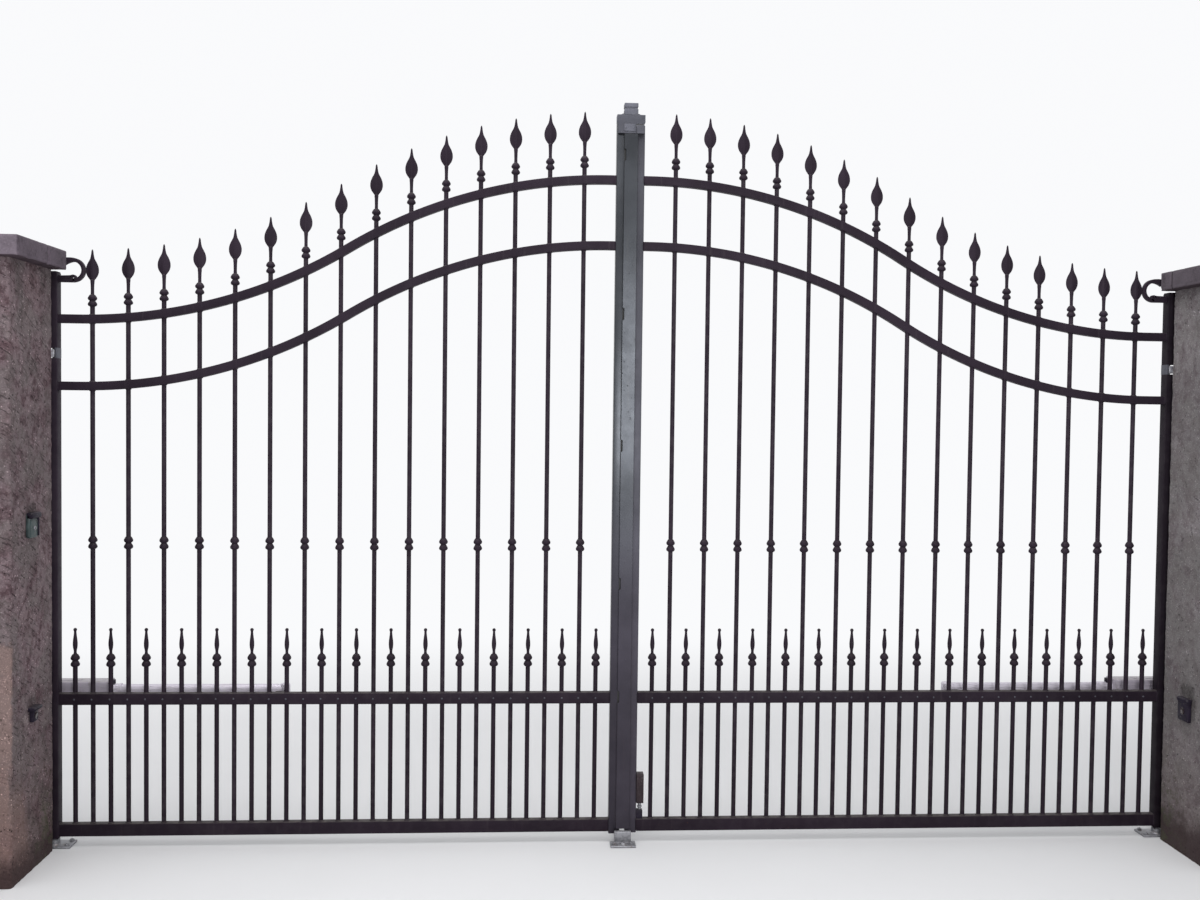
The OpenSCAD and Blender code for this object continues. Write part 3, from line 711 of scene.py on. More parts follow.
def finishes():
    """The slot and the material of every finish, made once and then looked up by the finish's name."""
    if not FINISHES:
        s = bpy.context.scene.gate_colours
        post, paint, plate, zinc = s.post_colour, s.paint_colour, s.plate_colour, s.zinc_colour
        paints = {
            "paint": ("anthracite_iron_paint", paint, 0.06, 0.46),
            # The last two numbers of the post and stile paints are their painted shade at the top and their
            # painted reflection tint.
            "post_paint": ("sheeny_post_paint", post, 0.68, 0.31, 0.35, 0.25, 0.04, 0.78, 1.0),
            # The right meeting stile's paint: a paler, rougher copy of the post paint.
            "stile_paint": ("weathered_stile_paint", tint(post, 1.4), 0.4, 0.46, 0.35, 0.25, 0.08, 0.86, 0.5),
            # A darker copy of the gate paint: painted shade for the pillar's shadow on the right hinge stile.
            "deep_paint": ("deep_iron_paint", tint(paint, 0.5), 0.02, 0.52, 0.15, 0.2),
            "plate": ("grey_green_plate_paint", plate, 0.35, 0.40, 0.3, 0.2),
            "pale_plate": ("worn_pale_paint", tint(plate, 1.45), 0.35, 0.42, 0.3, 0.15),
        }
        FINISHES.update({finish: ("gate_paint", iron_paint(*facts)) for finish, facts in paints.items()})
        FINISHES.update({
            "plaster": ("plaster", plaster_material(s)),
            "stone": ("cap_stone", stone_material(s)),
            "zinc": ("galvanised", zinc_material("dull_galvanised_steel", zinc, 0.5)),
            # The hinges' shiny galvanised steel, three times paler: a painted reflection of the bright sky in
            # its colour.
            "zinc_with_painted_reflection": ("galvanised", zinc_material("hinge_steel_with_painted_reflection", tint(zinc, 3.0), 0.25)),
            "housing": ("housing_paint", housing_material(s)),
            "tube": ("bright_tube", tube_material(s)),
            "plastic": ("dark_plastic", plastic_material("dark_moulded_plastic", s.plastic_colour)),
            "lock": ("lock_paint", plastic_material("grey_brown_lock_paint", s.lock_colour, 0.55)),
            "switch": ("switch_paint", switch_material(s)),
            "lens": ("dark_plastic", lens_material()),
            "painted_shadow_black": ("dark_plastic", painted_shadow_material()),
        })
    return FINISHES


# Settings that a user would change


def colour(name, description, default):
    return FloatVectorProperty(
        name=name, description=description, default=default, subtype="COLOR", min=0.0, max=1.0)


def length(name, description, default, low, high):
    return FloatProperty(
        name=name, description=description, default=default, min=low, max=high, unit="LENGTH")


class GateColours(bpy.types.PropertyGroup):
    """Colours of the gate's finishes."""

    paint_colour: colour("Gate Paint", "Dark paint of bars, rails and hinge stiles", (0.0240, 0.0168, 0.0256))
    post_colour: colour(
        "Post Paint", "Dustier paint of the stiles and the strip where the leaves meet",
        (0.061, 0.057, 0.072))
    plate_colour: colour("Top Plate", "Grey-green plate at the top of the post", (0.090, 0.092, 0.110))
    plaster_colour: colour("Plaster", "Rough-cast plaster of the pillars", (0.212, 0.194, 0.200))
    stone_colour: colour("Cap Stone", "Stone of the slabs on the pillars", (0.161, 0.132, 0.159))
    zinc_colour: colour("Galvanised Steel", "Hinges, ground fittings, rivets and bolts", (0.25, 0.25, 0.27))
    housing_colour: colour("Operator Housing", "Pale paint of the operators' housings", (0.46, 0.42, 0.49))
    tube_colour: colour("Operator Tube", "Satin metal of the operators' arms", (0.66, 0.62, 0.70))
    plastic_colour: colour("Dark Plastic", "Photocells and bolt guide", (0.015, 0.011, 0.021))
    switch_colour: colour("Switch Face", "Face of the key switch", (0.044, 0.066, 0.068))
    lock_colour: colour("Lock Case", "Case of the lock at the foot of the right leaf", (0.036, 0.025, 0.029))
    floor_colour: colour("Floor", "Plain studio floor", (0.80, 0.80, 0.81))
    backdrop_colour: colour("Backdrop", "What the camera sees behind the gate", (0.955, 0.96, 0.975))
    floor_fade: length(
        "Floor Fade", "Distance from the gate at which the floor begins to meet the backdrop", 1.1, 0.5, 20.0)


class GateSizes(bpy.types.PropertyGroup):
    """Sizes of the details."""

    plaster_step: length(
        "Plaster Grid", "Distance between the points of the rough-cast surface", 0.0070, 0.004, 0.03)
    plaster_relief: length("Plaster Relief", "How deep the rough-cast surface goes", 0.0042, 0.0, 0.006)
    pillar_corner: length("Pillar Corner", "Radius of a pillar's upright corners", 0.012, 0.002, 0.03)
    tube_edge: length("Tube Corner", "Outer corner radius of the square tubes", 0.0030, 0.0005, 0.006)
    rivet_r: length("Rivet Radius", "Radius of a rivet's head on the mid rail", 0.0036, 0.002, 0.008)
    weld_r: length("Weld Radius", "Radius of the weld beads", 0.0022, 0.001, 0.005)
    turned_steps: IntProperty(
        name="Turned Steps", description="Faces round a turned piece such as a collar",
        default=24, min=12, max=48)


class StageSettings(bpy.types.PropertyGroup):
    """Lamps, floor and camera."""

    sky_strength: FloatProperty(
        name="Sky", description="Strength of the even light from all round", default=0.62, min=0.0, max=3.0)
    top_power: FloatProperty(
        name="Top Softbox", description="Power of the large softbox overhead", default=150.0, min=0.0,
        max=5000.0, unit="POWER")
    front_power: FloatProperty(
        name="Front Softbox", description="Power of the softbox behind the camera", default=76.0, min=0.0,
        max=5000.0, unit="POWER")
    floor_radius: length("Floor Radius", "Radius of the round floor", 30.0, 5.0, 100.0)
    lens: FloatProperty(
        name="Lens", description="Focal length on a 36 mm wide sensor", default=35.33, min=10.0, max=200.0,
        unit="CAMERA")


# Masonry


def ring_outline(w, h, r, step):
    """A rounded rectangle with points about step apart, for a surface that gets relief."""
    corner = rounded(w, h, r, 4)
    points = []
    for a, b in zip(corner, corner[1:] + corner[:1]):
        length = math.hypot(b[0] - a[0], b[1] - a[1])
        count = max(1, round(length / step))
        points += [(a[0] + (b[0] - a[0]) * i / count, a[1] + (b[1] - a[1]) * i / count) for i in range(count)]
    return points


def rough_cast(p):
    """Depth of thrown plaster at a point, from 0 at its highest grains to 1."""
    lumps = noise.fractal(p * 26, 0.9, 2.0, 3)
    grains = noise.noise(p * 95)
    hollow = noise.noise(p * 3.1)
    return min(max(0.42 + 0.26 * lumps + 0.34 * grains + 0.22 * hollow, 0.0), 1.0)


class GATE_OT_pillars(bpy.types.Operator):
    """Add both pillars of rough-cast plaster"""

    bl_idname = "gate.pillars"
    bl_label = "Pillars"

    def execute(self, context):
        s = context.scene.gate_sizes
        form = Form()
        for side in SIDES:
            lo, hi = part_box(f"{side}_pillar")
            size, middle = hi - lo, (lo + hi) / 2
            outline = ring_outline(size.x, size.y, s.pillar_corner, s.plaster_step)
            inner = inset(outline, 1.0)
            rows = round(size.z / s.plaster_step)
            rings = []
            for row in range(rows + 1):
                ring = []
                for (x, y), (ix, iy) in zip(outline, inner):
                    p = Vector((middle.x + x, middle.y + y, lo.z + size.z * row / rows))
                    inward = Vector((ix - x, iy - y, 0)).normalized()
                    ring.append(p + inward * s.plaster_relief * rough_cast(p))
                rings.append(ring)
            form.skin(rings)
            form.place(f"{side}_plastered_pillar", "root", "plaster", f"{side}_pillar", angle=80)
        return {"FINISHED"}


class GATE_OT_caps(bpy.types.Operator):
    """Add the stone slabs on the pillars, with chipped edges and a joint across"""

    bl_idname = "gate.caps"
    bl_label = "Caps"

    def execute(self, context):
        form = Form()
        for side in SIDES:
            lo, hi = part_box(f"{side}_pillar_cap")
            size, middle = hi - lo, (lo + hi) / 2
            outline = ring_outline(size.x, size.y, 0.014, 0.006)
            inner = inset(outline, 1.0)
            rings = []
            for d, height in self.levels(size.z):
                ring = []
                limit_x, limit_y = size.x / 2 - d, size.y / 2 - d
                for (x, y), (ix, iy) in zip(outline, inner):
                    p = Vector((middle.x + max(-limit_x, min(limit_x, x)),
                                middle.y + max(-limit_y, min(limit_y, y)), lo.z + height))
                    groove = max(0.0, 1 - abs(p.y - GATE.y - CAP_JOINT_Y[side]) / 0.008) * 0.007
                    inward = Vector((ix - x, iy - y, 0)).normalized()
                    if height == size.z:
                        inward = -Z_AXIS
                    elif height == 0.0:
                        inward, groove = Z_AXIS, 0.0
                    near_edge = min(height, size.z - height) < 0.012 and d < 0.01
                    ring.append(p + inward * (self.wear(p, near_edge) + groove))
                rings.append(ring)
            form.skin(rings)
            form.place(f"{side}_cap_slab", "root", "stone", f"{side}_pillar_cap", angle=50)
        return {"FINISHED"}

    def levels(self, tall):
        """How far each ring is drawn in, and its height: underside, round edge, side, edge and top."""
        step, edge = 0.006, 0.007
        levels = [(d, 0.0) for d in (0.19, 0.12, 0.07, 0.04, 0.02, edge)]
        for i in range(1, 4):
            a = math.radians(30 * i)
            levels.append((edge * (1 - math.sin(a)), edge * (1 - math.cos(a))))
        count = round((tall - 2 * edge) / step)
        levels += [(0.0, edge + (tall - 2 * edge) * i / count) for i in range(1, count)]
        tops = [(d, tall - h) for d, h in reversed(levels[:9])]
        return levels + tops[:-5] + [(d, tall) for d in (0.014, 0.026, 0.045, 0.08, 0.13, 0.19)]

    def wear(self, p, near_edge):
        grain = 0.5 + 0.3 * noise.fractal(p * 40, 0.9, 2.0, 3) + 0.25 * noise.noise(p * 160)
        chip = max(0.0, noise.noise(p * 22 + Vector((5, 0, 0))) - 0.28)
        return 0.0011 * max(0.0, grain) + 0.012 * chip * near_edge


# Leaf frame


class GATE_OT_stiles(bpy.types.Operator):
    """Add the upright tubes of both leaves"""

    bl_idname = "gate.stiles"
    bl_label = "Stiles"

    def execute(self, context):
        corner = context.scene.gate_sizes.tube_edge
        edge = corner * 0.5
        form = Form()
        for side, sign in SIDES.items():
            lo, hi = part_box(f"{side}_hinge_stile")
            hinge_z = sum(p.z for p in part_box(f"{side}_upper_hinge")) / 2
            low, high = hinge_z - NOTCH_H / 2, hinge_z + NOTCH_H / 2
            form.box(lo, (hi.x, hi.y, low), edge, corner)
            form.box((lo.x, lo.y, high), hi, edge, corner)
            axis = Vector((HINGE_X[side], GATE.y, 0))
            form.rod(axis + Z_AXIS * (low - 0.004), axis + Z_AXIS * (high + 0.004), HINGE_PIN_R)
            crown = Vector((0.0015, 0.0015, 0))
            foot = Vector((lo.x, lo.y, hi.z - 0.001))
            form.box(foot + crown, hi - crown + Z_AXIS * 0.0042, FINE_EDGE, 0.003)
            # The right hinge stile gets the darker paint: painted shade for the pillar's shadow.
            form.place(f"{side}_hinge_post_tube", f"{side}_leaf", "paint" if side == "left" else "deep_paint",
                       f"{side}_hinge_stile")
            web_x = hi.x if side == "left" else lo.x
            form.box((web_x, lo.y, low - 0.0005), (web_x + sign * NOTCH_WEB, hi.y, high + 0.0005), 0.0008)
            form.place(f"{side}_notch_web", f"{side}_leaf", "plate")
            form.box(*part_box(f"{side}_meeting_stile"), edge, corner)
            form.place(f"{side}_meeting_post_tube", f"{side}_leaf",
                       "post_paint" if side == "left" else "stile_paint", f"{side}_meeting_stile")
        return {"FINISHED"}


class GATE_OT_rails(bpy.types.Operator):
    """Add the straight rails of both leaves, their welds and the rivets on the mid rails"""

    bl_idname = "gate.rails"
    bl_label = "Straight Rails"

    def execute(self, context):
        s = context.scene.gate_sizes
        form = Form()
        for side in SIDES:
            body = f"{side}_leaf"
            bars = [bar[0] for bar in stations(f"{side}_long_bars") + stations(f"{side}_short_bars")]
            lo, hi = self.tube(form, side, "bottom", s)
            for k, x in enumerate(bars):
                form.weld_ring((x, GATE.y, hi.z), Z_AXIS, BAR_R, 0.0035, k)
            self.end_welds(form, lo, hi, s.weld_r)
            form.place(f"{side}_bottom_tube", body, "paint", f"{side}_bottom_rail")
            lo, hi = self.tube(form, side, "mid", s)
            for k, x in enumerate(bars):
                form.weld_ring((x, GATE.y, hi.z), Z_AXIS, BAR_R, 0.0028, k + 40)
                form.weld_ring((x, GATE.y, lo.z), -Z_AXIS, BAR_R, 0.0028, k + 80)
            self.end_welds(form, lo, hi, s.weld_r)
            form.place(f"{side}_mid_tube", body, "paint", f"{side}_mid_rail")
            dice = random.Random(7)
            for x in bars:
                for face, y in ((-Y_AXIS, lo.y), (Y_AXIS, hi.y)):
                    rivet_x = x + dice.uniform(-0.001, 0.001)
                    rivet_z = (lo.z + hi.z) / 2 + dice.uniform(-0.001, 0.001)
                    form.dome((rivet_x, y, rivet_z), face, s.rivet_r, s.rivet_r * 0.62, 14)
            form.place(f"{side}_mid_rail_rivets", body, "plate")
        return {"FINISHED"}

    def tube(self, form, side, level, s):
        lo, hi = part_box(f"{side}_{level}_rail")
        form.box(lo, hi, 0.001, s.tube_edge)
        return lo, hi

    def end_welds(self, form, lo, hi, r):
        for k, x in enumerate((lo.x, hi.x)):
            for y in (lo.y, hi.y):
                form.weld((x, y, lo.z + 0.003), (x, y, hi.z - 0.003), r, k)
            form.weld((x, lo.y + 0.003, hi.z), (x, hi.y - 0.003, hi.z), r, k + 5)


def curve_of(side, node):
    """The middle line of a curved rail: two arcs that meet half way, level at both ends."""
    lo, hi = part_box(node)
    z0, z1 = lo.z + RAIL_HALF, hi.z - RAIL_HALF
    meet, hinge = sorted((abs(lo.x - GATE.x), abs(hi.x - GATE.x)))
    crown, spring = CROWN_FLAT, AXIS_T - HINGE_FLAT
    run, rise = spring - crown, z1 - z0
    sweep = 2 * math.atan(rise / run)
    r = run / (2 * math.sin(sweep))
    steps = 46
    turns = [(r * math.sin(sweep * i / steps), r * math.cos(sweep * i / steps)) for i in range(steps + 1)]
    line = [(meet, z1), (meet + 0.010, z1)]
    line += [(crown + across, z1 - r + up) for across, up in turns]
    line += [(spring - across, z0 + r - up) for across, up in turns[-2::-1]]
    line += [(hinge - 0.025, z0), (hinge, z0)]
    return [(GATE.x + SIDES[side] * t, z) for t, z in line]


class GATE_OT_curved_rails(bpy.types.Operator):
    """Add the S-curved rails that the long bars run through"""

    bl_idname = "gate.curved_rails"
    bl_label = "Curved Rails"

    def execute(self, context):
        s = context.scene.gate_sizes
        form = Form()
        for side in SIDES:
            bars = [bar[0] for bar in stations(f"{side}_long_bars")]
            for level in ("lower", "upper"):
                node = f"{side}_{level}_curved_rail"
                path = curve_of(side, node)
                form.sweep(path, RAIL_HALF, RAIL_HALF, s.tube_edge)
                for k, x in enumerate(bars):
                    z, tilt = self.height(path, x)
                    for way in (1, -1):
                        form.weld_ring((x, GATE.y, z + way * RAIL_HALF), tilt * way, BAR_R, 0.0030, k)
                for x, z in (path[0], path[-1]):
                    for y in (GATE.y - RAIL_HALF, GATE.y + RAIL_HALF):
                        form.weld((x, y, z - 0.012), (x, y, z + 0.012), s.weld_r)
                form.place(f"{side}_{level}_swept_rail", f"{side}_leaf", "paint", node)
        return {"FINISHED"}

    def height(self, path, x):
        """The rail's height at x, and its direction across."""
        for (x0, z0), (x1, z1) in zip(path, path[1:]):
            if min(x0, x1) <= x <= max(x0, x1) and x0 != x1:
                share = (x - x0) / (x1 - x0)
                slope = (z1 - z0) / (x1 - x0)
                return z0 + (z1 - z0) * share, Vector((-slope * 0.5, 0, 1)).normalized()
        raise RuntimeError("a bar stands outside its curved rail")


# Bars and their ornaments


def bead(z, h, foot=0.2):
    """One bead of a collar, from its foot up: a round belly under a long cone."""
    wide = COLLAR_R - BAR_R
    shape = ((foot, 0.0), (foot + 0.25, 0.07), (0.78, 0.17), (0.95, 0.29), (1.0, 0.40), (0.98, 0.49),
             (0.86, 0.60), (0.55, 0.80), (0.30, 0.94), (0.20, 1.0))
    return [(BAR_R + share * wide, z + h * up) for share, up in shape]


def double_bead(z, h):
    return bead(z, h * 0.49, 0.1) + bead(z + h * 0.51, h * 0.49)


class GATE_OT_bars(bpy.types.Operator):
    """Add the long bars and their double collars"""

    bl_idname = "gate.bars"
    bl_label = "Long Bars and Collars"

    def execute(self, context):
        steps = context.scene.gate_sizes.turned_steps
        form = Form()
        for side in SIDES:
            for x, z0, z1 in stations(f"{side}_long_bars"):
                form.lathe((x, GATE.y, 0), Z_AXIS, ((BAR_R, z0 - 0.002), (BAR_R, z1 + 0.002)), steps)
            form.place(f"{side}_round_bars", f"{side}_leaf", "paint", f"{side}_long_bars")
            for x, z0, z1 in stations(f"{side}_collars"):
                profile = [(BAR_R - 0.001, z0)] + double_bead(z0, z1 - z0) + [(BAR_R - 0.001, z1)]
                form.lathe((x, GATE.y, 0), Z_AXIS, profile, steps)
            form.place(f"{side}_bar_collars", f"{side}_leaf", "paint", f"{side}_collars", angle=50)
        return {"FINISHED"}


class GATE_OT_short_bars(bpy.types.Operator):
    """Add the short bars with their collars, finials and balls"""

    bl_idname = "gate.short_bars"
    bl_label = "Short Bars"

    def execute(self, context):
        steps = context.scene.gate_sizes.turned_steps
        low, top = SHORT_COLLAR_Z - COLLAR_H / 2, SHORT_COLLAR_Z - COLLAR_H / 2 + COLLAR_H
        stem = ((0.86, 0.0), (0.64, 0.05), (0.60, 0.12), (0.70, 0.19), (0.90, 0.27), (1.0, 0.37),
                (1.0, 0.46), (0.92, 0.56), (0.76, 0.68), (0.60, 0.80), (0.53, 0.88), (0.52, 0.93))
        ball = 0.0062
        form = Form()
        for side in SIDES:
            for x, z0, z1 in stations(f"{side}_short_bars"):
                profile = [(BAR_R, z0 - 0.002), (BAR_R, low)] + double_bead(low, COLLAR_H)
                profile += [(BAR_R * r, top + (z1 - ball - top) * u) for r, u in stem]
                for a in (-42, -20, 0, 25, 50, 72, 90):
                    a = math.radians(a)
                    profile.append((ball * math.cos(a), z1 - ball + ball * math.sin(a)))
                form.lathe((x, GATE.y, 0), Z_AXIS, profile, steps)
            form.place(f"{side}_finial_bars", f"{side}_leaf", "paint", f"{side}_short_bars", angle=50)
        return {"FINISHED"}


class GATE_OT_spearheads(bpy.types.Operator):
    """Add the forged spearheads"""

    bl_idname = "gate.spearheads"
    bl_label = "Spearheads"

    def execute(self, context):
        steps = context.scene.gate_sizes.turned_steps
        form = Form()
        for side in SIDES:
            for x, z0, z1 in stations(f"{side}_spearheads"):
                neck_top = z0 + COLLAR_H + NECK_H
                neck = ((0.92, z0 + SPEAR_COLLAR_H + 0.002), (0.86, z0 + COLLAR_H + 0.010),
                        (0.94, neck_top - 0.014), (1.08, neck_top - 0.004),
                        (1.04, neck_top + 0.001), (0.5, neck_top + 0.006))
                profile = [(BAR_R * 0.8, z0)] + double_bead(z0, SPEAR_COLLAR_H)
                profile += [(NECK_R * share, z) for share, z in neck]
                form.lathe((x, GATE.y, 0), Z_AXIS, profile, steps)
                form.skin(self.blade(x, neck_top, z1))
            form.place(f"{side}_spear_points", f"{side}_leaf", "paint", f"{side}_spearheads", angle=24)
        return {"FINISHED"}

    def blade(self, x, low, high):
        """Rings of a leaf-shaped blade with a ridge on both faces."""
        outline = ((0.32, 0.0), (0.38, 0.025), (0.52, 0.06), (0.76, 0.13), (0.91, 0.20), (0.98, 0.26),
                   (1.0, 0.32), (0.985, 0.38), (0.93, 0.44), (0.82, 0.51), (0.66, 0.58), (0.47, 0.65),
                   (0.33, 0.71), (0.25, 0.78), (0.18, 0.87), (0.14, 0.95), (0.05, 1.0))
        rings = []
        for wide, up in outline:
            w = BLADE_W / 2 * wide
            t = max(BLADE_T / 2 * (0.12 + 0.88 * wide ** 0.62) * (1 - 0.45 * up), 0.0007)
            section = []
            for a, b in ((1, 1), (-1, 1), (-1, -1), (1, -1)):
                corner = ((a * w, b * 0.0007), (a * w * 0.55, b * t * 0.34), (a * w * 0.14, b * t * 0.92))
                section += corner if a * b > 0 else corner[::-1]
            rings.append([Vector((x + p, GATE.y + q, low + (high - low) * up)) for p, q in section])
        return rings


class GATE_OT_scrolls(bpy.types.Operator):
    """Add the bent scrolls on the hinge stiles"""

    bl_idname = "gate.scrolls"
    bl_label = "Scrolls"

    def execute(self, context):
        weld_r = context.scene.gate_sizes.weld_r
        r = SCROLL_R - SCROLL_T / 2
        form = Form()
        for side, sign in SIDES.items():
            lo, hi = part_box(f"{side}_scroll")
            stile_lo, stile_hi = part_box(f"{side}_hinge_stile")
            inward = -sign
            cx = (hi.x - SCROLL_R) if side == "left" else (lo.x + SCROLL_R)
            cz = stile_hi.z + SCROLL_RISE
            root_x = stile_hi.x if side == "left" else stile_lo.x
            path = [(root_x - inward * 0.002, cz - r), (cx - inward * 0.012, cz - r)]
            for i in range(35):
                a = -90 + 228 * i / 34
                reach = r * (1 + 0.20 * (max(0.0, a - 92) / 46) ** 2)
                a = math.radians(a)
                path.append((cx + inward * reach * math.cos(a), cz + reach * math.sin(a)))
            form.sweep(path, SCROLL_T / 2, SCROLL_D / 2, 0.002,
                       lambda u: 1 + (max(0, u - 0.74) / 0.26) ** 1.4)
            curl_z = cz - 0.0262
            path = [(root_x - inward * 0.002, cz - 0.0245), (root_x + inward * 0.010, cz - 0.0250),
                    (cx - inward * 0.012, cz - 0.0235), (cx - inward * 0.004, curl_z + CURL_R * 0.5)]
            form.sweep(path, 0.0066, SCROLL_D / 2, 0.0015, lambda u: 1.0 - 0.25 * u)
            path = []
            for i in range(25):
                a = math.radians(-90 + 320 * i / 24)
                shrink = CURL_R * (1 - 0.36 * i / 24)
                path.append((cx + inward * shrink * math.cos(a), curl_z + shrink * math.sin(a)))
            form.sweep(path, CURL_T, SCROLL_D / 2, 0.0012, lambda u: 1.0 - 0.25 * u)
            weld_z = cz - SCROLL_R
            form.weld((root_x, GATE.y - 0.008, weld_z), (root_x, GATE.y + 0.008, weld_z), weld_r)
            form.place(f"{side}_bent_scroll", f"{side}_leaf", "paint", f"{side}_scroll")
        return {"FINISHED"}


# Where the leaves meet


class GATE_OT_cover_strip(bpy.types.Operator):
    """Add the strip over the joint, its slits and its welds, and the cap piece above"""

    bl_idname = "gate.cover_strip"
    bl_label = "Cover Strip and Cap Piece"

    def execute(self, context):
        lo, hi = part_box("cover_strip")
        strip_top = hi.z
        half = (hi.x - lo.x) / 2
        outline = [(half, lo.z), (half, hi.z), (-half, hi.z)]
        for z in reversed(SLITS):
            for dz, dx in ((SLIT_H / 2, 0.0), (SLIT_H / 2 - 0.001, 0.7), (SLIT_H / 2 - 0.003, 1.0),
                           (-SLIT_H / 2 + 0.003, 1.0), (-SLIT_H / 2 + 0.001, 0.7), (-SLIT_H / 2, 0.0)):
                outline.append((-half + SLIT_W * dx, z + dz))
        outline.append((-half, lo.z))
        form = Form()
        form.prism(outline, (GATE.x, lo.y, 0), X_AXIS, Z_AXIS, Y_AXIS, hi.y - lo.y, 0.0012)
        ends = [lo.z + 0.01] + [z + sign * SLIT_H / 2 for z in SLITS for sign in (-1, 1)] + [hi.z - 0.01]
        for k in range(0, len(ends), 2):
            form.weld((lo.x, hi.y - 0.0008, ends[k]), (lo.x, hi.y - 0.0008, ends[k + 1]), 0.0014, k)
        form.place("joint_cover_strip", "left_leaf", "post_paint", "cover_strip", angle=15)
        # Thin black blocks at the back of the slits: painted shadow of the gap between the strip and the
        # stile.
        for z in SLITS:
            form.box((lo.x + 0.0004, hi.y - 0.0016, z - SLIT_H / 2 + 0.0006),
                     (lo.x + SLIT_W - 0.0002, hi.y + 0.0004, z + SLIT_H / 2 - 0.0006), 0.0004)
        form.place("slit_painted_shadow", "left_leaf", "painted_shadow_black")
        lo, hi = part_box("meeting_cap")
        stile_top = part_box("left_meeting_stile")[1].z
        block_w, block_h, groove = 0.049, 0.041, 0.003
        plate_top = hi.z - block_h
        form.box((lo.x, lo.y, stile_top), (hi.x, hi.y, plate_top), 0.0015)
        x0, x1 = GATE.x - block_w / 2, GATE.x + block_w / 2
        waist = plate_top + block_h / 2
        form.box((x0, lo.y, plate_top), (x1, hi.y, waist), 0.0015)
        form.box((x0 + groove, lo.y + groove, waist - 0.002),
                 (x1 - groove, hi.y - groove, waist + 2 * groove + 0.002), 0.001)
        form.box((x0, lo.y, waist + 2 * groove), (x1, hi.y, hi.z), 0.0018)
        for y in (lo.y, hi.y):
            form.weld((x0 + 0.003, y, plate_top), (x1 - 0.003, y, plate_top), 0.0022, 3)
        form.bolts((lo.x + 0.022, hi.x - 0.022), (GATE.y,), (plate_top,), Z_AXIS, 0.0065, 0.0)
        form.place("meeting_cap_piece", "left_leaf", "pale_plate", "meeting_cap")
        self.top_plates(form, strip_top, stile_top, plate_top)
        return {"FINISHED"}

    def top_plates(self, form, low, stile_top, high):
        """The plates that close the top of the post, one on each leaf, and the thin lip under them."""
        half, split, t = 0.047, 0.018, 0.003
        corner = stile_top - 0.005
        outline = [(-half, low + 0.001), (split, low + 0.001), (split, corner), (half, corner),
                   (half, high - 0.002), (-half, high - 0.002)]
        front = GATE.y - 0.0235
        form.prism(outline, (GATE.x, front, 0), X_AXIS, Z_AXIS, Y_AXIS, t, 0.0008)
        form.box((GATE.x - half, front - 0.0055, low + 0.0005),
                 (GATE.x + split, front + t, low + 0.0045), 0.001)
        form.place("left_top_plate", "left_leaf", "plate")
        form.box((GATE.x - 0.026, front - 0.003, low + 0.008),
                 (GATE.x + 0.012, front + 0.0005, stile_top - 0.006), FINE_EDGE, 0.003)
        for x in (-0.021, 0.007):
            form.dome((GATE.x + x, front - 0.003, low + 0.021), -Y_AXIS, 0.0032, 0.0014, 12)
        form.place("pale_catch_plate", "left_leaf", "pale_plate")
        low -= 0.001
        start, end = GATE.x + split + 0.0006, GATE.x + half
        form.box((start, front, low + 0.002), (end, GATE.y - 0.0115, stile_top - 0.0095), 0.0008)
        form.box((start, front - 0.0055, low + 0.0015), (end, front + t, low + 0.0055), 0.001)
        form.place("right_top_plate", "right_leaf", "plate")


class GATE_OT_lock(bpy.types.Operator):
    """Add the lock case, the drop bolt and its guide"""

    bl_idname = "gate.lock"
    bl_label = "Lock and Drop Bolt"

    def execute(self, context):
        lo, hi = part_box("lock_case")
        form = Form()
        form.box((lo.x, lo.y + 0.003, lo.z), hi, FINE_EDGE)
        form.box((lo.x, lo.y, lo.z + 0.002), (hi.x - 0.001, lo.y + 0.004, hi.z - 0.002), 0.001)
        middle = (lo.x + hi.x) / 2
        barrel = ((0.0085, 0), (0.0085, 0.0025), (0.0075, 0.0035), (0.0062, 0.0035), (0.0058, 0.0025))
        form.lathe((middle, lo.y + 0.0005, lo.z + (hi.z - lo.z) * 0.7), -Y_AXIS, barrel, 24)
        for z in (lo.z + 0.010, hi.z - 0.010):
            form.dome((middle, lo.y, z), -Y_AXIS, 0.0036, 0.0016, 12)
        form.place("lock_case_and_plate", "right_leaf", "lock", "lock_case")
        lo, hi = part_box("drop_bolt")
        r = (hi.x - lo.x) / 2
        foot = Vector(((lo.x + hi.x) / 2, (lo.y + hi.y) / 2, 0))
        form.rod(foot + Z_AXIS * lo.z, foot + Z_AXIS * hi.z, r, 0.0012, 20)
        collar_r = r + 0.0022
        collar = ((r, hi.z - 0.020), (collar_r, hi.z - 0.018), (collar_r, hi.z - 0.013), (r, hi.z - 0.011))
        form.lathe(foot, Z_AXIS, collar, 20)
        form.place("drop_bolt_rod", "right_leaf", "zinc", "drop_bolt")
        lo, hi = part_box("bolt_guide")
        form.box(lo, hi, 0.0015)
        rim = ((0.0088, hi.z - 0.003), (0.0092, hi.z), (0.0082, hi.z + 0.0012), (0.0064, hi.z + 0.0012))
        form.lathe(foot, Z_AXIS, rim, 20)
        for z in (lo.z + 0.008, hi.z - 0.008):
            form.dome((lo.x + 0.004, lo.y, z), -Y_AXIS, 0.0024, 0.0012, 10)
        form.place("bolt_guide_block", "right_leaf", "plastic", "bolt_guide")
        return {"FINISHED"}


# Hinges and ground fittings


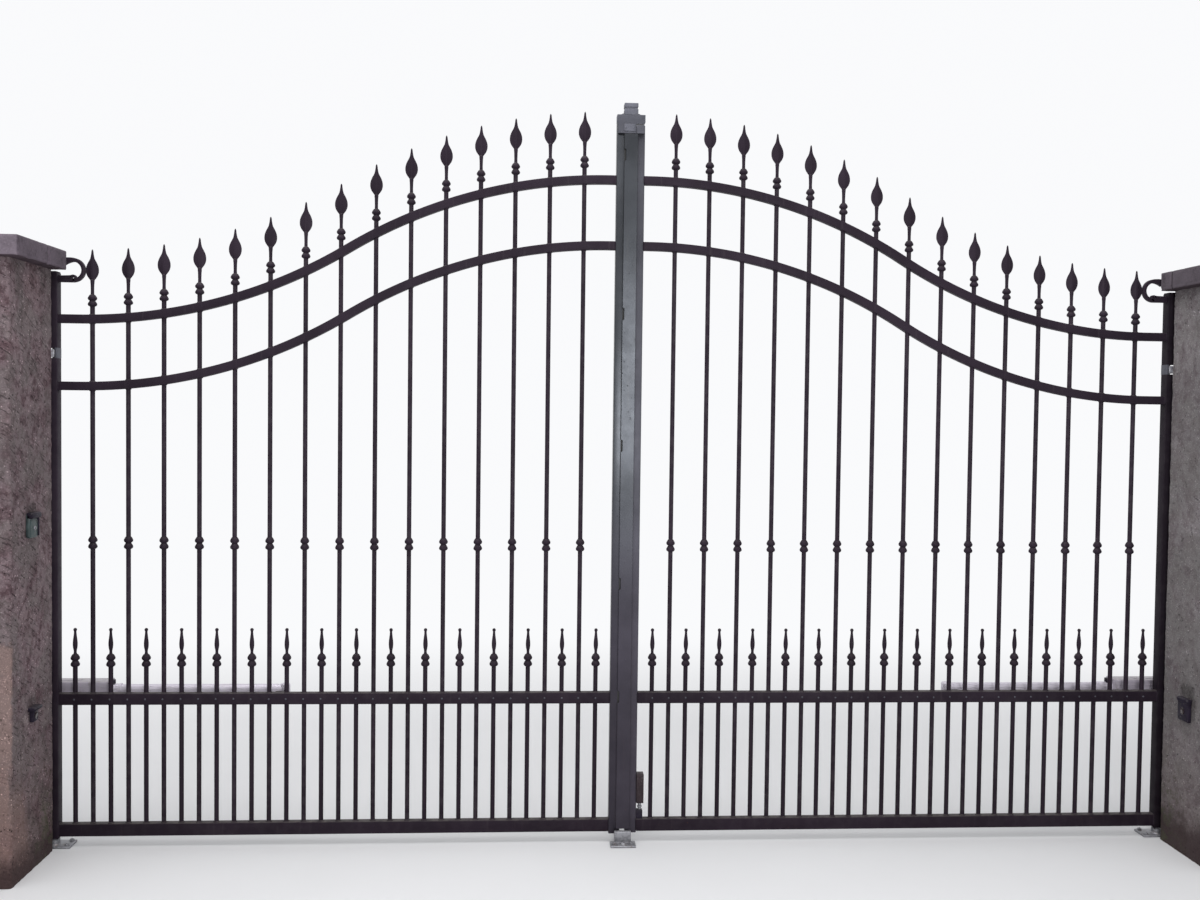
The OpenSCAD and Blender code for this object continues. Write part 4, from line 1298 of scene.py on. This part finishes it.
class GATE_OT_hinges(bpy.types.Operator):
    """Add the upper hinges, with their plates, bolts and welds"""

    bl_idname = "gate.hinges"
    bl_label = "Upper Hinges"

    def execute(self, context):
        s = context.scene.gate_sizes
        eye_h, eye_r, bore_r, neck = 0.027, 0.0085, HINGE_PIN_R + 0.0003, 0.012
        leg_t, plate_a, plate_b = 0.084, 0.036, 0.120
        form = Form()
        for side, sign in SIDES.items():
            lo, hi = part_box(f"{side}_upper_hinge")
            axis = Vector((HINGE_X[side], GATE.y, 0))
            z = (lo.z + hi.z) / 2
            low, high = z - eye_h / 2, z + eye_h / 2
            form.lathe(axis, Z_AXIS, (
                (bore_r, low + 0.001), (bore_r + 0.0007, low), (eye_r - 0.0008, low), (eye_r, low + 0.0012),
                (eye_r, high - 0.0012), (eye_r - 0.0008, high), (bore_r + 0.0007, high),
                (bore_r, high - 0.001)), 24)
            form.box((axis.x + sign * (eye_r * 0.7), GATE.y - neck / 2, low),
                     (axis.x + sign * leg_t, GATE.y + neck / 2, high), FINE_EDGE)
            leg = sorted((axis.x + sign * leg_t, axis.x + sign * (leg_t - neck)))
            form.box((leg[0], lo.y + 0.001, low), (leg[1], GATE.y + neck / 2, high), FINE_EDGE)
            plate = sorted((axis.x + sign * plate_a, axis.x + sign * plate_b))
            face = lo.y + PLATE_T
            form.box((plate[0], lo.y, lo.z), (plate[1], face, hi.z), FINE_EDGE, 0.006)
            form.bolts((plate[0] + 0.014, plate[1] - 0.014), (face,), (lo.z + 0.016, hi.z - 0.016),
                       Y_AXIS, 0.0075, 0.4)
            for x in leg:
                form.weld((x, face, low), (x, face, high), s.weld_r)
            # The hinges take the paler zinc, with the sky's reflection painted into its colour.
            form.place(f"{side}_hinge_bracket", "root", "zinc_with_painted_reflection", f"{side}_upper_hinge")
        return {"FINISHED"}


class GATE_OT_ground_fittings(bpy.types.Operator):
    """Add the ground pivots and the stop, bolted to the ground"""

    bl_idname = "gate.ground_fittings"
    bl_label = "Ground Pivots and Stop"

    def execute(self, context):
        boss_top = 0.027
        boss = ((0.020, PLATE_T - 0.001), (0.0185, PLATE_T + 0.003), (0.017, PLATE_T + 0.005),
                (0.017, boss_top - 0.0015), (0.0155, boss_top), (0.0100, boss_top))
        form = Form()
        for side in SIDES:
            lo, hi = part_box(f"{side}_ground_pivot")
            axis = Vector((HINGE_X[side], GATE.y, 0))
            form.box(lo, (hi.x, hi.y, PLATE_T), FINE_EDGE, 0.008)
            form.lathe(axis, Z_AXIS, boss, 24)
            form.rod(axis + Z_AXIS * (boss_top - 0.002), axis + Z_AXIS * hi.z, GROUND_PIN_R, 0.001, 20)
            form.bolts((lo.x + 0.014, hi.x - 0.014), (lo.y + 0.013, hi.y - 0.013), (PLATE_T,),
                       Z_AXIS, 0.0075, 0.3)
            form.place(f"{side}_ground_pivot_casting", "root", "zinc", f"{side}_ground_pivot")
        lo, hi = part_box("ground_stop")
        lug_half, lug_y = 0.030, hi.y - 0.018
        form.box(lo, (hi.x, hi.y, PLATE_T), FINE_EDGE, 0.008)
        form.box((GATE.x - lug_half, lug_y, PLATE_T - 0.002), (GATE.x + lug_half, hi.y, hi.z), 0.0025, 0.004)
        form.weld((GATE.x - lug_half, lug_y, PLATE_T), (GATE.x + lug_half, lug_y, PLATE_T),
                  context.scene.gate_sizes.weld_r)
        form.bolts((lo.x + 0.016, hi.x - 0.016), (lo.y + 0.017,), (PLATE_T,), Z_AXIS, 0.0080, 0.2)
        form.dome((GATE.x, lo.y + 0.018, PLATE_T), Z_AXIS, 0.0125, 0.0085, 20)
        form.place("ground_stop_casting", "root", "zinc", "ground_stop")
        return {"FINISHED"}


# Operators


class GATE_OT_operators(bpy.types.Operator):
    """Add the swing-gate operators: brackets, housings and sliding arms"""

    bl_idname = "gate.operators"
    bl_label = "Swing-Gate Operators"

    def execute(self, context):
        weld_r = context.scene.gate_sizes.weld_r
        form = Form()
        for side, sign in SIDES.items():
            pivot = Vector(JOINTS[f"{side}_operator_swing"]["pos_m"])
            along = Vector((-sign, 0, 0))
            self.rear_bracket(form, side, pivot, weld_r)
            self.housing(form, side, pivot, along)
            self.arm(form, side, pivot, along)
            self.leaf_bracket(form, side, sign, pivot, weld_r)
        return {"FINISHED"}

    def rear_bracket(self, form, side, pivot, weld_r):
        lo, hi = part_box(f"{side}_operator_bracket")
        half, lug_t = 0.018, 0.020
        face = lo.y + PLATE_T
        form.box(lo, (hi.x, face, hi.z), FINE_EDGE, 0.006)
        outline = arc(half, 0, 180, pivot.y - lo.y) + [(-half, 0.001), (half, 0.001)]
        for z in (pivot.z - lug_t / 2 - 0.005 - PLATE_T, pivot.z + lug_t / 2 + 0.005):
            form.prism(outline, (pivot.x, lo.y, z), X_AXIS, Y_AXIS, Z_AXIS, PLATE_T, 0.001)
            for x in (pivot.x - half, pivot.x + half):
                start = Vector((x, face, z))
                form.weld(start, start + Z_AXIS * PLATE_T, weld_r)
        form.bolts((lo.x + 0.013, hi.x - 0.013), (face,), (lo.z + 0.014, hi.z - 0.014), Y_AXIS, 0.0070, 0.5)
        form.place(f"{side}_pillar_bracket", "root", "paint", f"{side}_operator_bracket")
        form.rod(pivot - Z_AXIS * 0.028, pivot + Z_AXIS * 0.028, 0.006, 0.001, 18)
        form.bolt(pivot + Z_AXIS * 0.0228, Z_AXIS, 0.0095)
        form.bolt(pivot - Z_AXIS * 0.0228, -Z_AXIS, 0.0090, 0.3)
        form.place(f"{side}_pivot_bolt", "root", "zinc")

    def housing(self, form, side, pivot, along):
        node = f"{side}_operator_housing"
        lo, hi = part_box(node)
        side_w = hi.z - lo.z
        body_w = side_w - 0.003
        cover, start, front = 0.006, 0.030, HOUSING_LEN[side]
        nose = pivot + along * front
        lug = arc(0.015, 90, 270) + [(start + 0.001, -0.015), (start + 0.001, 0.015)]
        form.prism(lug, pivot - Z_AXIS * 0.010, along, Y_AXIS, Z_AXIS, 0.020, 0.0015)
        end_cover, case = rounded(side_w, side_w, 0.008, 4), rounded(body_w, body_w, 0.007, 4)
        for outline, near, depth, *finer in (
                (end_cover, start, cover, 0.0015),
                (case, start + cover - 0.001, front - start - 2 * cover + 0.002, 0.0008, CASE_BORE_R, 0.009),
                (end_cover, front - cover, cover, 0.0018, CASE_BORE_R)):
            form.prism(outline, pivot + along * near, Y_AXIS, Z_AXIS, along, depth, *finer)
        for way in (-1, 1):
            for z in (-0.014, 0.014):
                a = pivot + along * (start + 0.014) + Y_AXIS * way * (body_w / 2 - 0.001) + Z_AXIS * z
                b = a + along * (front - start - 0.028) + Y_AXIS * way * 0.0022
                form.box((a.x, a.y, a.z - 0.0015), (b.x, b.y, a.z + 0.0015), 0.0007)
        corner = side_w / 2 - 0.011
        for y in (-corner, corner):
            for z in (-corner, corner):
                form.dome(pivot + along * front + Y_AXIS * y + Z_AXIS * z, along, 0.0032, 0.0018, 12)
                form.dome(pivot + along * start + Y_AXIS * y + Z_AXIS * z, -along, 0.0032, 0.0018, 12)
        lid = pivot + along * (start + 0.030) + Z_AXIS * (body_w / 2 - 0.0008)
        end = lid + along * 0.085
        form.box((lid.x, pivot.y - 0.014, lid.z), (end.x, pivot.y + 0.014, lid.z + 0.0022), 0.0008)
        form.place(f"{side}_operator_case", node, "housing", node)
        r, flange_r, sleeve = SLEEVE_BORE_R + 0.0011, 0.0222, SLEEVE_END - front
        bead_r = r + 0.0012
        form.lathe(nose, along, (
            (SLEEVE_BORE_R, -0.005), (r, -0.005), (r, -0.0005), (flange_r, -0.0005), (flange_r, 0.0016),
            (r, 0.0022), (r, sleeve - 0.010), (bead_r, sleeve - 0.009), (bead_r, sleeve - 0.001),
            (r, sleeve), (SLEEVE_BORE_R, sleeve)), 40, ring_shaped=True)
        form.place(f"{side}_operator_sleeve", node, "tube", node)
        a, b = nose + along * 0.0005, nose + along * LUG_LEN[side]
        form.box((a.x, pivot.y - 0.010, pivot.z + r - 0.004),
                 (b.x, pivot.y + 0.010, pivot.z + side_w / 2 - 0.001), 0.0025)
        form.dome(b + Z_AXIS * (r + 0.006), along, 0.0045, 0.0018, 16)
        form.place(f"{side}_release_lug", node, "plastic")

    def arm(self, form, side, pivot, along):
        node = f"{side}_operator_rod"
        lo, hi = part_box(node)
        reach = (hi.x - lo.x) - EYE_R
        r, groove_r = TUBE_R, TUBE_R - 0.0008
        form.lathe(pivot + along * ARM_TAIL, along, (
            (r - 0.002, 0), (r, 0.001), (r, reach - 0.026), (groove_r, reach - 0.025),
            (groove_r, reach - 0.023), (r, reach - 0.022), (r, reach - 0.008),
            (r - 0.002, reach - 0.006)), 40)
        form.place(f"{side}_telescopic_arm", node, "tube", node)
        eye = pivot + along * (ARM_TAIL + reach)
        shape = ((0.0150, 0.0190), (0.0170, 0.0172), (0.0178, 0.0150))
        form.lathe(eye, Z_AXIS, [(r, -z) for r, z in shape] + [(r, z) for r, z in reversed(shape)], 30)
        form.dome(eye + Z_AXIS * 0.0190, Z_AXIS, 0.0085, 0.0016, 16)
        form.place(f"{side}_arm_eye", node, "tube")

    def leaf_bracket(self, form, side, sign, pivot, weld_r):
        lo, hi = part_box(f"{side}_arm_bracket")
        rod_lo, rod_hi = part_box(f"{side}_operator_rod")
        eye_x = (rod_hi.x if side == "left" else rod_lo.x) + sign * EYE_R
        half, plate_t, back = 0.018, 0.012, lo.y + PLATE_T
        outline = arc(half, 0, 180, pivot.y - lo.y) + [(-half, 0.0005), (half, 0.0005)]
        form.prism(outline, (eye_x, lo.y, lo.z), X_AXIS, Y_AXIS, Z_AXIS, plate_t, 0.0012)
        form.box((eye_x - half, lo.y, lo.z), (eye_x + half, back, hi.z), FINE_EDGE)
        gusset = [(0.008, 0.012), (0.040, 0.012), (0.008, 0.036)]
        for way in (-1, 1):
            x = eye_x + way * (half - 0.004)
            form.prism(gusset, (x - 0.002, lo.y, lo.z), Y_AXIS, Z_AXIS, X_AXIS, 0.004, 0.0006)
        form.weld((eye_x - half, back, lo.z + plate_t), (eye_x + half, back, lo.z + plate_t), weld_r)
        form.place(f"{side}_leaf_bracket", f"{side}_leaf", "paint", f"{side}_arm_bracket")


# Photocells and key switch


class GATE_OT_devices(bpy.types.Operator):
    """Add the hooded photocells and the key switch on the reveals"""

    bl_idname = "gate.devices"
    bl_label = "Photocells and Key Switch"

    def execute(self, context):
        form = Form()
        for side, sign in SIDES.items():
            self.photocell(form, side, Vector((-sign, 0, 0)))
        self.key_switch(form)
        return {"FINISHED"}

    def photocell(self, form, side, out):
        lo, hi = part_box(f"{side}_photocell")
        d, h = hi.x - lo.x, hi.z - lo.z
        hood_w, wide, hood_d, hood_h = PHOTOCELL_SHAPES[side]
        face, top = 0.6 * d, h / 2 - hood_h
        street = Vector((REVEAL_X[side], lo.y, (lo.z + hi.z) / 2))
        body_start = street + Y_AXIS * (hood_w - wide) / 2
        low = -h / 2 if side == "right" else -h / 3
        body = [(0, low), (face * 0.78, low), (face * 0.95, low + 0.003), (face, low + 0.007),
                (face, top + 0.002), (0, top + 0.002)]
        hood = [(0, top), (hood_d - 0.003, top), (hood_d, top + 0.003), (hood_d, h / 2 - 0.004),
                (hood_d - 0.004, h / 2), (0, h / 2)]
        form.prism(body, body_start, out, Z_AXIS, Y_AXIS, wide, 0.0025)
        form.prism(hood, street, out, Z_AXIS, Y_AXIS, hood_w, 0.0022)
        for y in (0.008, wide - 0.008):
            form.dome(body_start + out * face + Y_AXIS * y + Z_AXIS * (low + 0.011), out, 0.0026, 0.0010, 10)
        form.place(f"{side}_photocell_case", "root", "plastic", f"{side}_photocell")
        spot = body_start + Y_AXIS * wide / 2 + out * (face - 0.0005) + Z_AXIS * ((low + top) / 2 + 0.002)
        form.lathe(spot, out, ((LENS_R + 0.0025, 0), (LENS_R + 0.0025, 0.0014), (LENS_R + 0.0012, 0.0020),
                               (LENS_R, 0.0008), (LENS_R * 0.7, 0.0018), (LENS_R * 0.3, 0.0024),
                               (0.0002, 0.0026)), 28)
        form.place(f"{side}_photocell_lens", "root", "lens")

    def key_switch(self, form):
        lo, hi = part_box("key_switch")
        d, w, h = hi.x - lo.x, KEY_SWITCH_W, hi.z - lo.z
        wall = Vector((lo.x, lo.y + w / 2, (lo.z + hi.z) / 2))
        depth, hood_h, drop = d / 2, 0.020, 0.010
        form.prism(rounded(w, h, 0.010, 4), wall, Y_AXIS, Z_AXIS, X_AXIS, depth, 0.0022)
        form.place("key_switch_box", "root", "switch", "key_switch")
        low = h / 2 - hood_h
        hood = [(0.002, low), (d - 0.006, low), (d, low + 0.005), (d, h / 2 - 0.006),
                (d - 0.002, h / 2 - 0.002), (d - 0.006, h / 2), (0.002, h / 2)]
        form.prism(hood, wall - Y_AXIS * w / 2, X_AXIS, Z_AXIS, Y_AXIS, w, 0.0022)
        rim = wall + X_AXIS * depth + Y_AXIS * w / 2
        form.box(rim - Y_AXIS * 0.007 - Z_AXIS * (h / 2 - 0.004) - X_AXIS * 0.003,
                 rim - Y_AXIS * 0.0008 + Z_AXIS * (low + 0.002) + X_AXIS * 0.0055, 0.0015)
        form.place("key_switch_hood", "root", "plastic", "key_switch")
        face = wall + X_AXIS * (depth - 0.0005) - Z_AXIS * drop
        plate = rounded(w - 0.012, 0.056, 0.008, 4)
        form.prism(plate, face - Y_AXIS * 0.002, Y_AXIS, Z_AXIS, X_AXIS, 0.0027, 0.0008)
        for y in (-0.023, 0.019):
            form.dome(face + X_AXIS * 0.0025 + Y_AXIS * y, X_AXIS, 0.0028, 0.0012, 12)
        form.place("key_switch_face", "root", "switch")
        barrel = ((0.0075, 0), (0.0075, 0.0035), (0.0065, 0.0046), (0.0052, 0.0046), (0.0048, 0.0038))
        form.lathe(face + X_AXIS * 0.002, X_AXIS, barrel, 28)
        form.place("key_barrel", "root", "zinc")
        # The key slot is a thin black plate on the barrel: painted shadow of the keyway.
        slot = face + X_AXIS * 0.0056
        half = Y_AXIS * 0.0011 + Z_AXIS * 0.0045
        form.box(slot - half, slot + X_AXIS * 0.0006 + half, 0.0002)
        form.place("key_slot", "root", "painted_shadow_black")


# Stage


class GATE_OT_stage(bpy.types.Operator):
    """Add the floor, the soft lamps, the pale world and the camera"""

    bl_idname = "gate.stage"
    bl_label = "Stage"

    def execute(self, context):
        scene = context.scene
        stage = scene.gate_stage
        colours = scene.gate_colours
        mesh = bpy.data.meshes.new("studio_floor")
        rim = [(GATE.x + x, GATE.y + y, 0.0) for x, y in circle(stage.floor_radius, 96)]
        mesh.from_pydata(rim, [], [tuple(range(96))])
        mesh.materials.append(floor_material(colours))
        floor = bpy.data.objects.new("studio_floor", mesh)
        floor.location.z = -0.0005
        scene.collection.objects.link(floor)
        self.softbox("top_softbox", (-1.0, -1.2, 5.2), 0.0, 0.8, 5.0, 4.0, stage.top_power)
        self.softbox("front_softbox", (0.42, -4.9, 1.84), 0.0, 1.6, 1.0, 0.9, stage.front_power)
        self.world(scene, stage, colours)
        self.camera(scene, stage)
        scene.view_settings.view_transform = "Standard"
        return {"FINISHED"}

    def softbox(self, name, place, x, z, width, height, power):
        """A soft lamp at a place seen from the gate's middle, aimed at x and z in the gate's plane."""
        lamp = bpy.data.lights.new(name, "AREA")
        lamp.shape = "RECTANGLE"
        lamp.size = width
        lamp.size_y = height
        lamp.energy = power
        obj = bpy.data.objects.new(name, lamp)
        obj.location = (GATE.x + place[0], GATE.y + place[1], place[2])
        target = Vector((GATE.x + x, GATE.y, z))
        obj.rotation_euler = (target - obj.location).to_track_quat("-Z", "Y").to_euler()
        bpy.context.scene.collection.objects.link(obj)

    def world(self, scene, stage, colours):
        """Even light from all round, and a pale backdrop for the rays that see it."""
        scene.world = bpy.data.worlds.new("pale_studio")
        sheet = Sheet(scene.world, "ShaderNodeOutputWorld")
        sky = {"Color": (0.97, 0.98, 1.0, 1.0), "Strength": stage.sky_strength}
        light = sheet.add("ShaderNodeBackground", sky)
        backdrop = sheet.add("ShaderNodeBackground", {"Color": (*colours.backdrop_colour, 1.0)})
        shares = {0: sheet.seen_directly(), 1: light, 2: backdrop}
        sheet.give(sheet.surface, sheet.add("ShaderNodeMixShader", shares))

    def camera(self, scene, stage):
        """The photograph's own viewpoint: eye level, a little left of the middle, 4.2 m before the leaves."""
        data = bpy.data.cameras.new("street_camera")
        data.sensor_width = 36.0
        data.lens = stage.lens
        data.clip_end = 200.0
        camera = bpy.data.objects.new("street_camera", data)
        yaw, pitch, roll = (math.radians(a) for a in (-3.590, -1.858, -0.708))
        turn = (Matrix.Rotation(yaw, 4, "Z") @ Matrix.Rotation(pitch, 4, "X") @ Matrix.Rotation(roll, 4, "Y")
                @ Matrix.Rotation(math.radians(90), 4, "X"))
        camera.matrix_world = Matrix.Translation((GATE.x - 0.359, GATE.y - 4.198, 1.548)) @ turn
        scene.collection.objects.link(camera)
        scene.camera = camera


class GATE_PT_panel(bpy.types.Panel):
    """Lists the pieces of the gate and their settings"""

    bl_label = "Wrought Iron Gate"
    bl_idname = "GATE_PT_panel"
    bl_space_type = "VIEW_3D"
    bl_region_type = "UI"
    bl_category = "Gate"

    def draw(self, context):
        for operator in OPERATORS:
            self.layout.operator(operator.bl_idname)
        for name in SETTINGS:
            group = getattr(context.scene, name)
            self.layout.label(text=type(group).__doc__)
            for key in group.bl_rna.properties.keys():
                if key not in ("rna_type", "name"):
                    self.layout.prop(group, key)


OPERATORS = (
    GATE_OT_pillars, GATE_OT_caps, GATE_OT_stiles, GATE_OT_rails, GATE_OT_curved_rails, GATE_OT_bars,
    GATE_OT_short_bars, GATE_OT_spearheads, GATE_OT_scrolls, GATE_OT_cover_strip, GATE_OT_lock,
    GATE_OT_hinges, GATE_OT_ground_fittings, GATE_OT_operators, GATE_OT_devices, GATE_OT_stage)
SETTINGS = {"gate_colours": GateColours, "gate_sizes": GateSizes, "gate_stage": StageSettings}


def register():
    for group in SETTINGS.values():
        bpy.utils.register_class(group)
    for name, group in SETTINGS.items():
        setattr(bpy.types.Scene, name, PointerProperty(type=group))
    for operator in OPERATORS:
        bpy.utils.register_class(operator)
    bpy.utils.register_class(GATE_PT_panel)


def unregister():
    bpy.utils.unregister_class(GATE_PT_panel)
    for operator in reversed(OPERATORS):
        bpy.utils.unregister_class(operator)
    for name, group in reversed(SETTINGS.items()):
        delattr(bpy.types.Scene, name)
        bpy.utils.unregister_class(group)


def main():
    register()
    for operator in OPERATORS:
        family, name = operator.bl_idname.split(".")
        getattr(getattr(bpy.ops, family), name)()


if __name__ == "__main__":
    main()
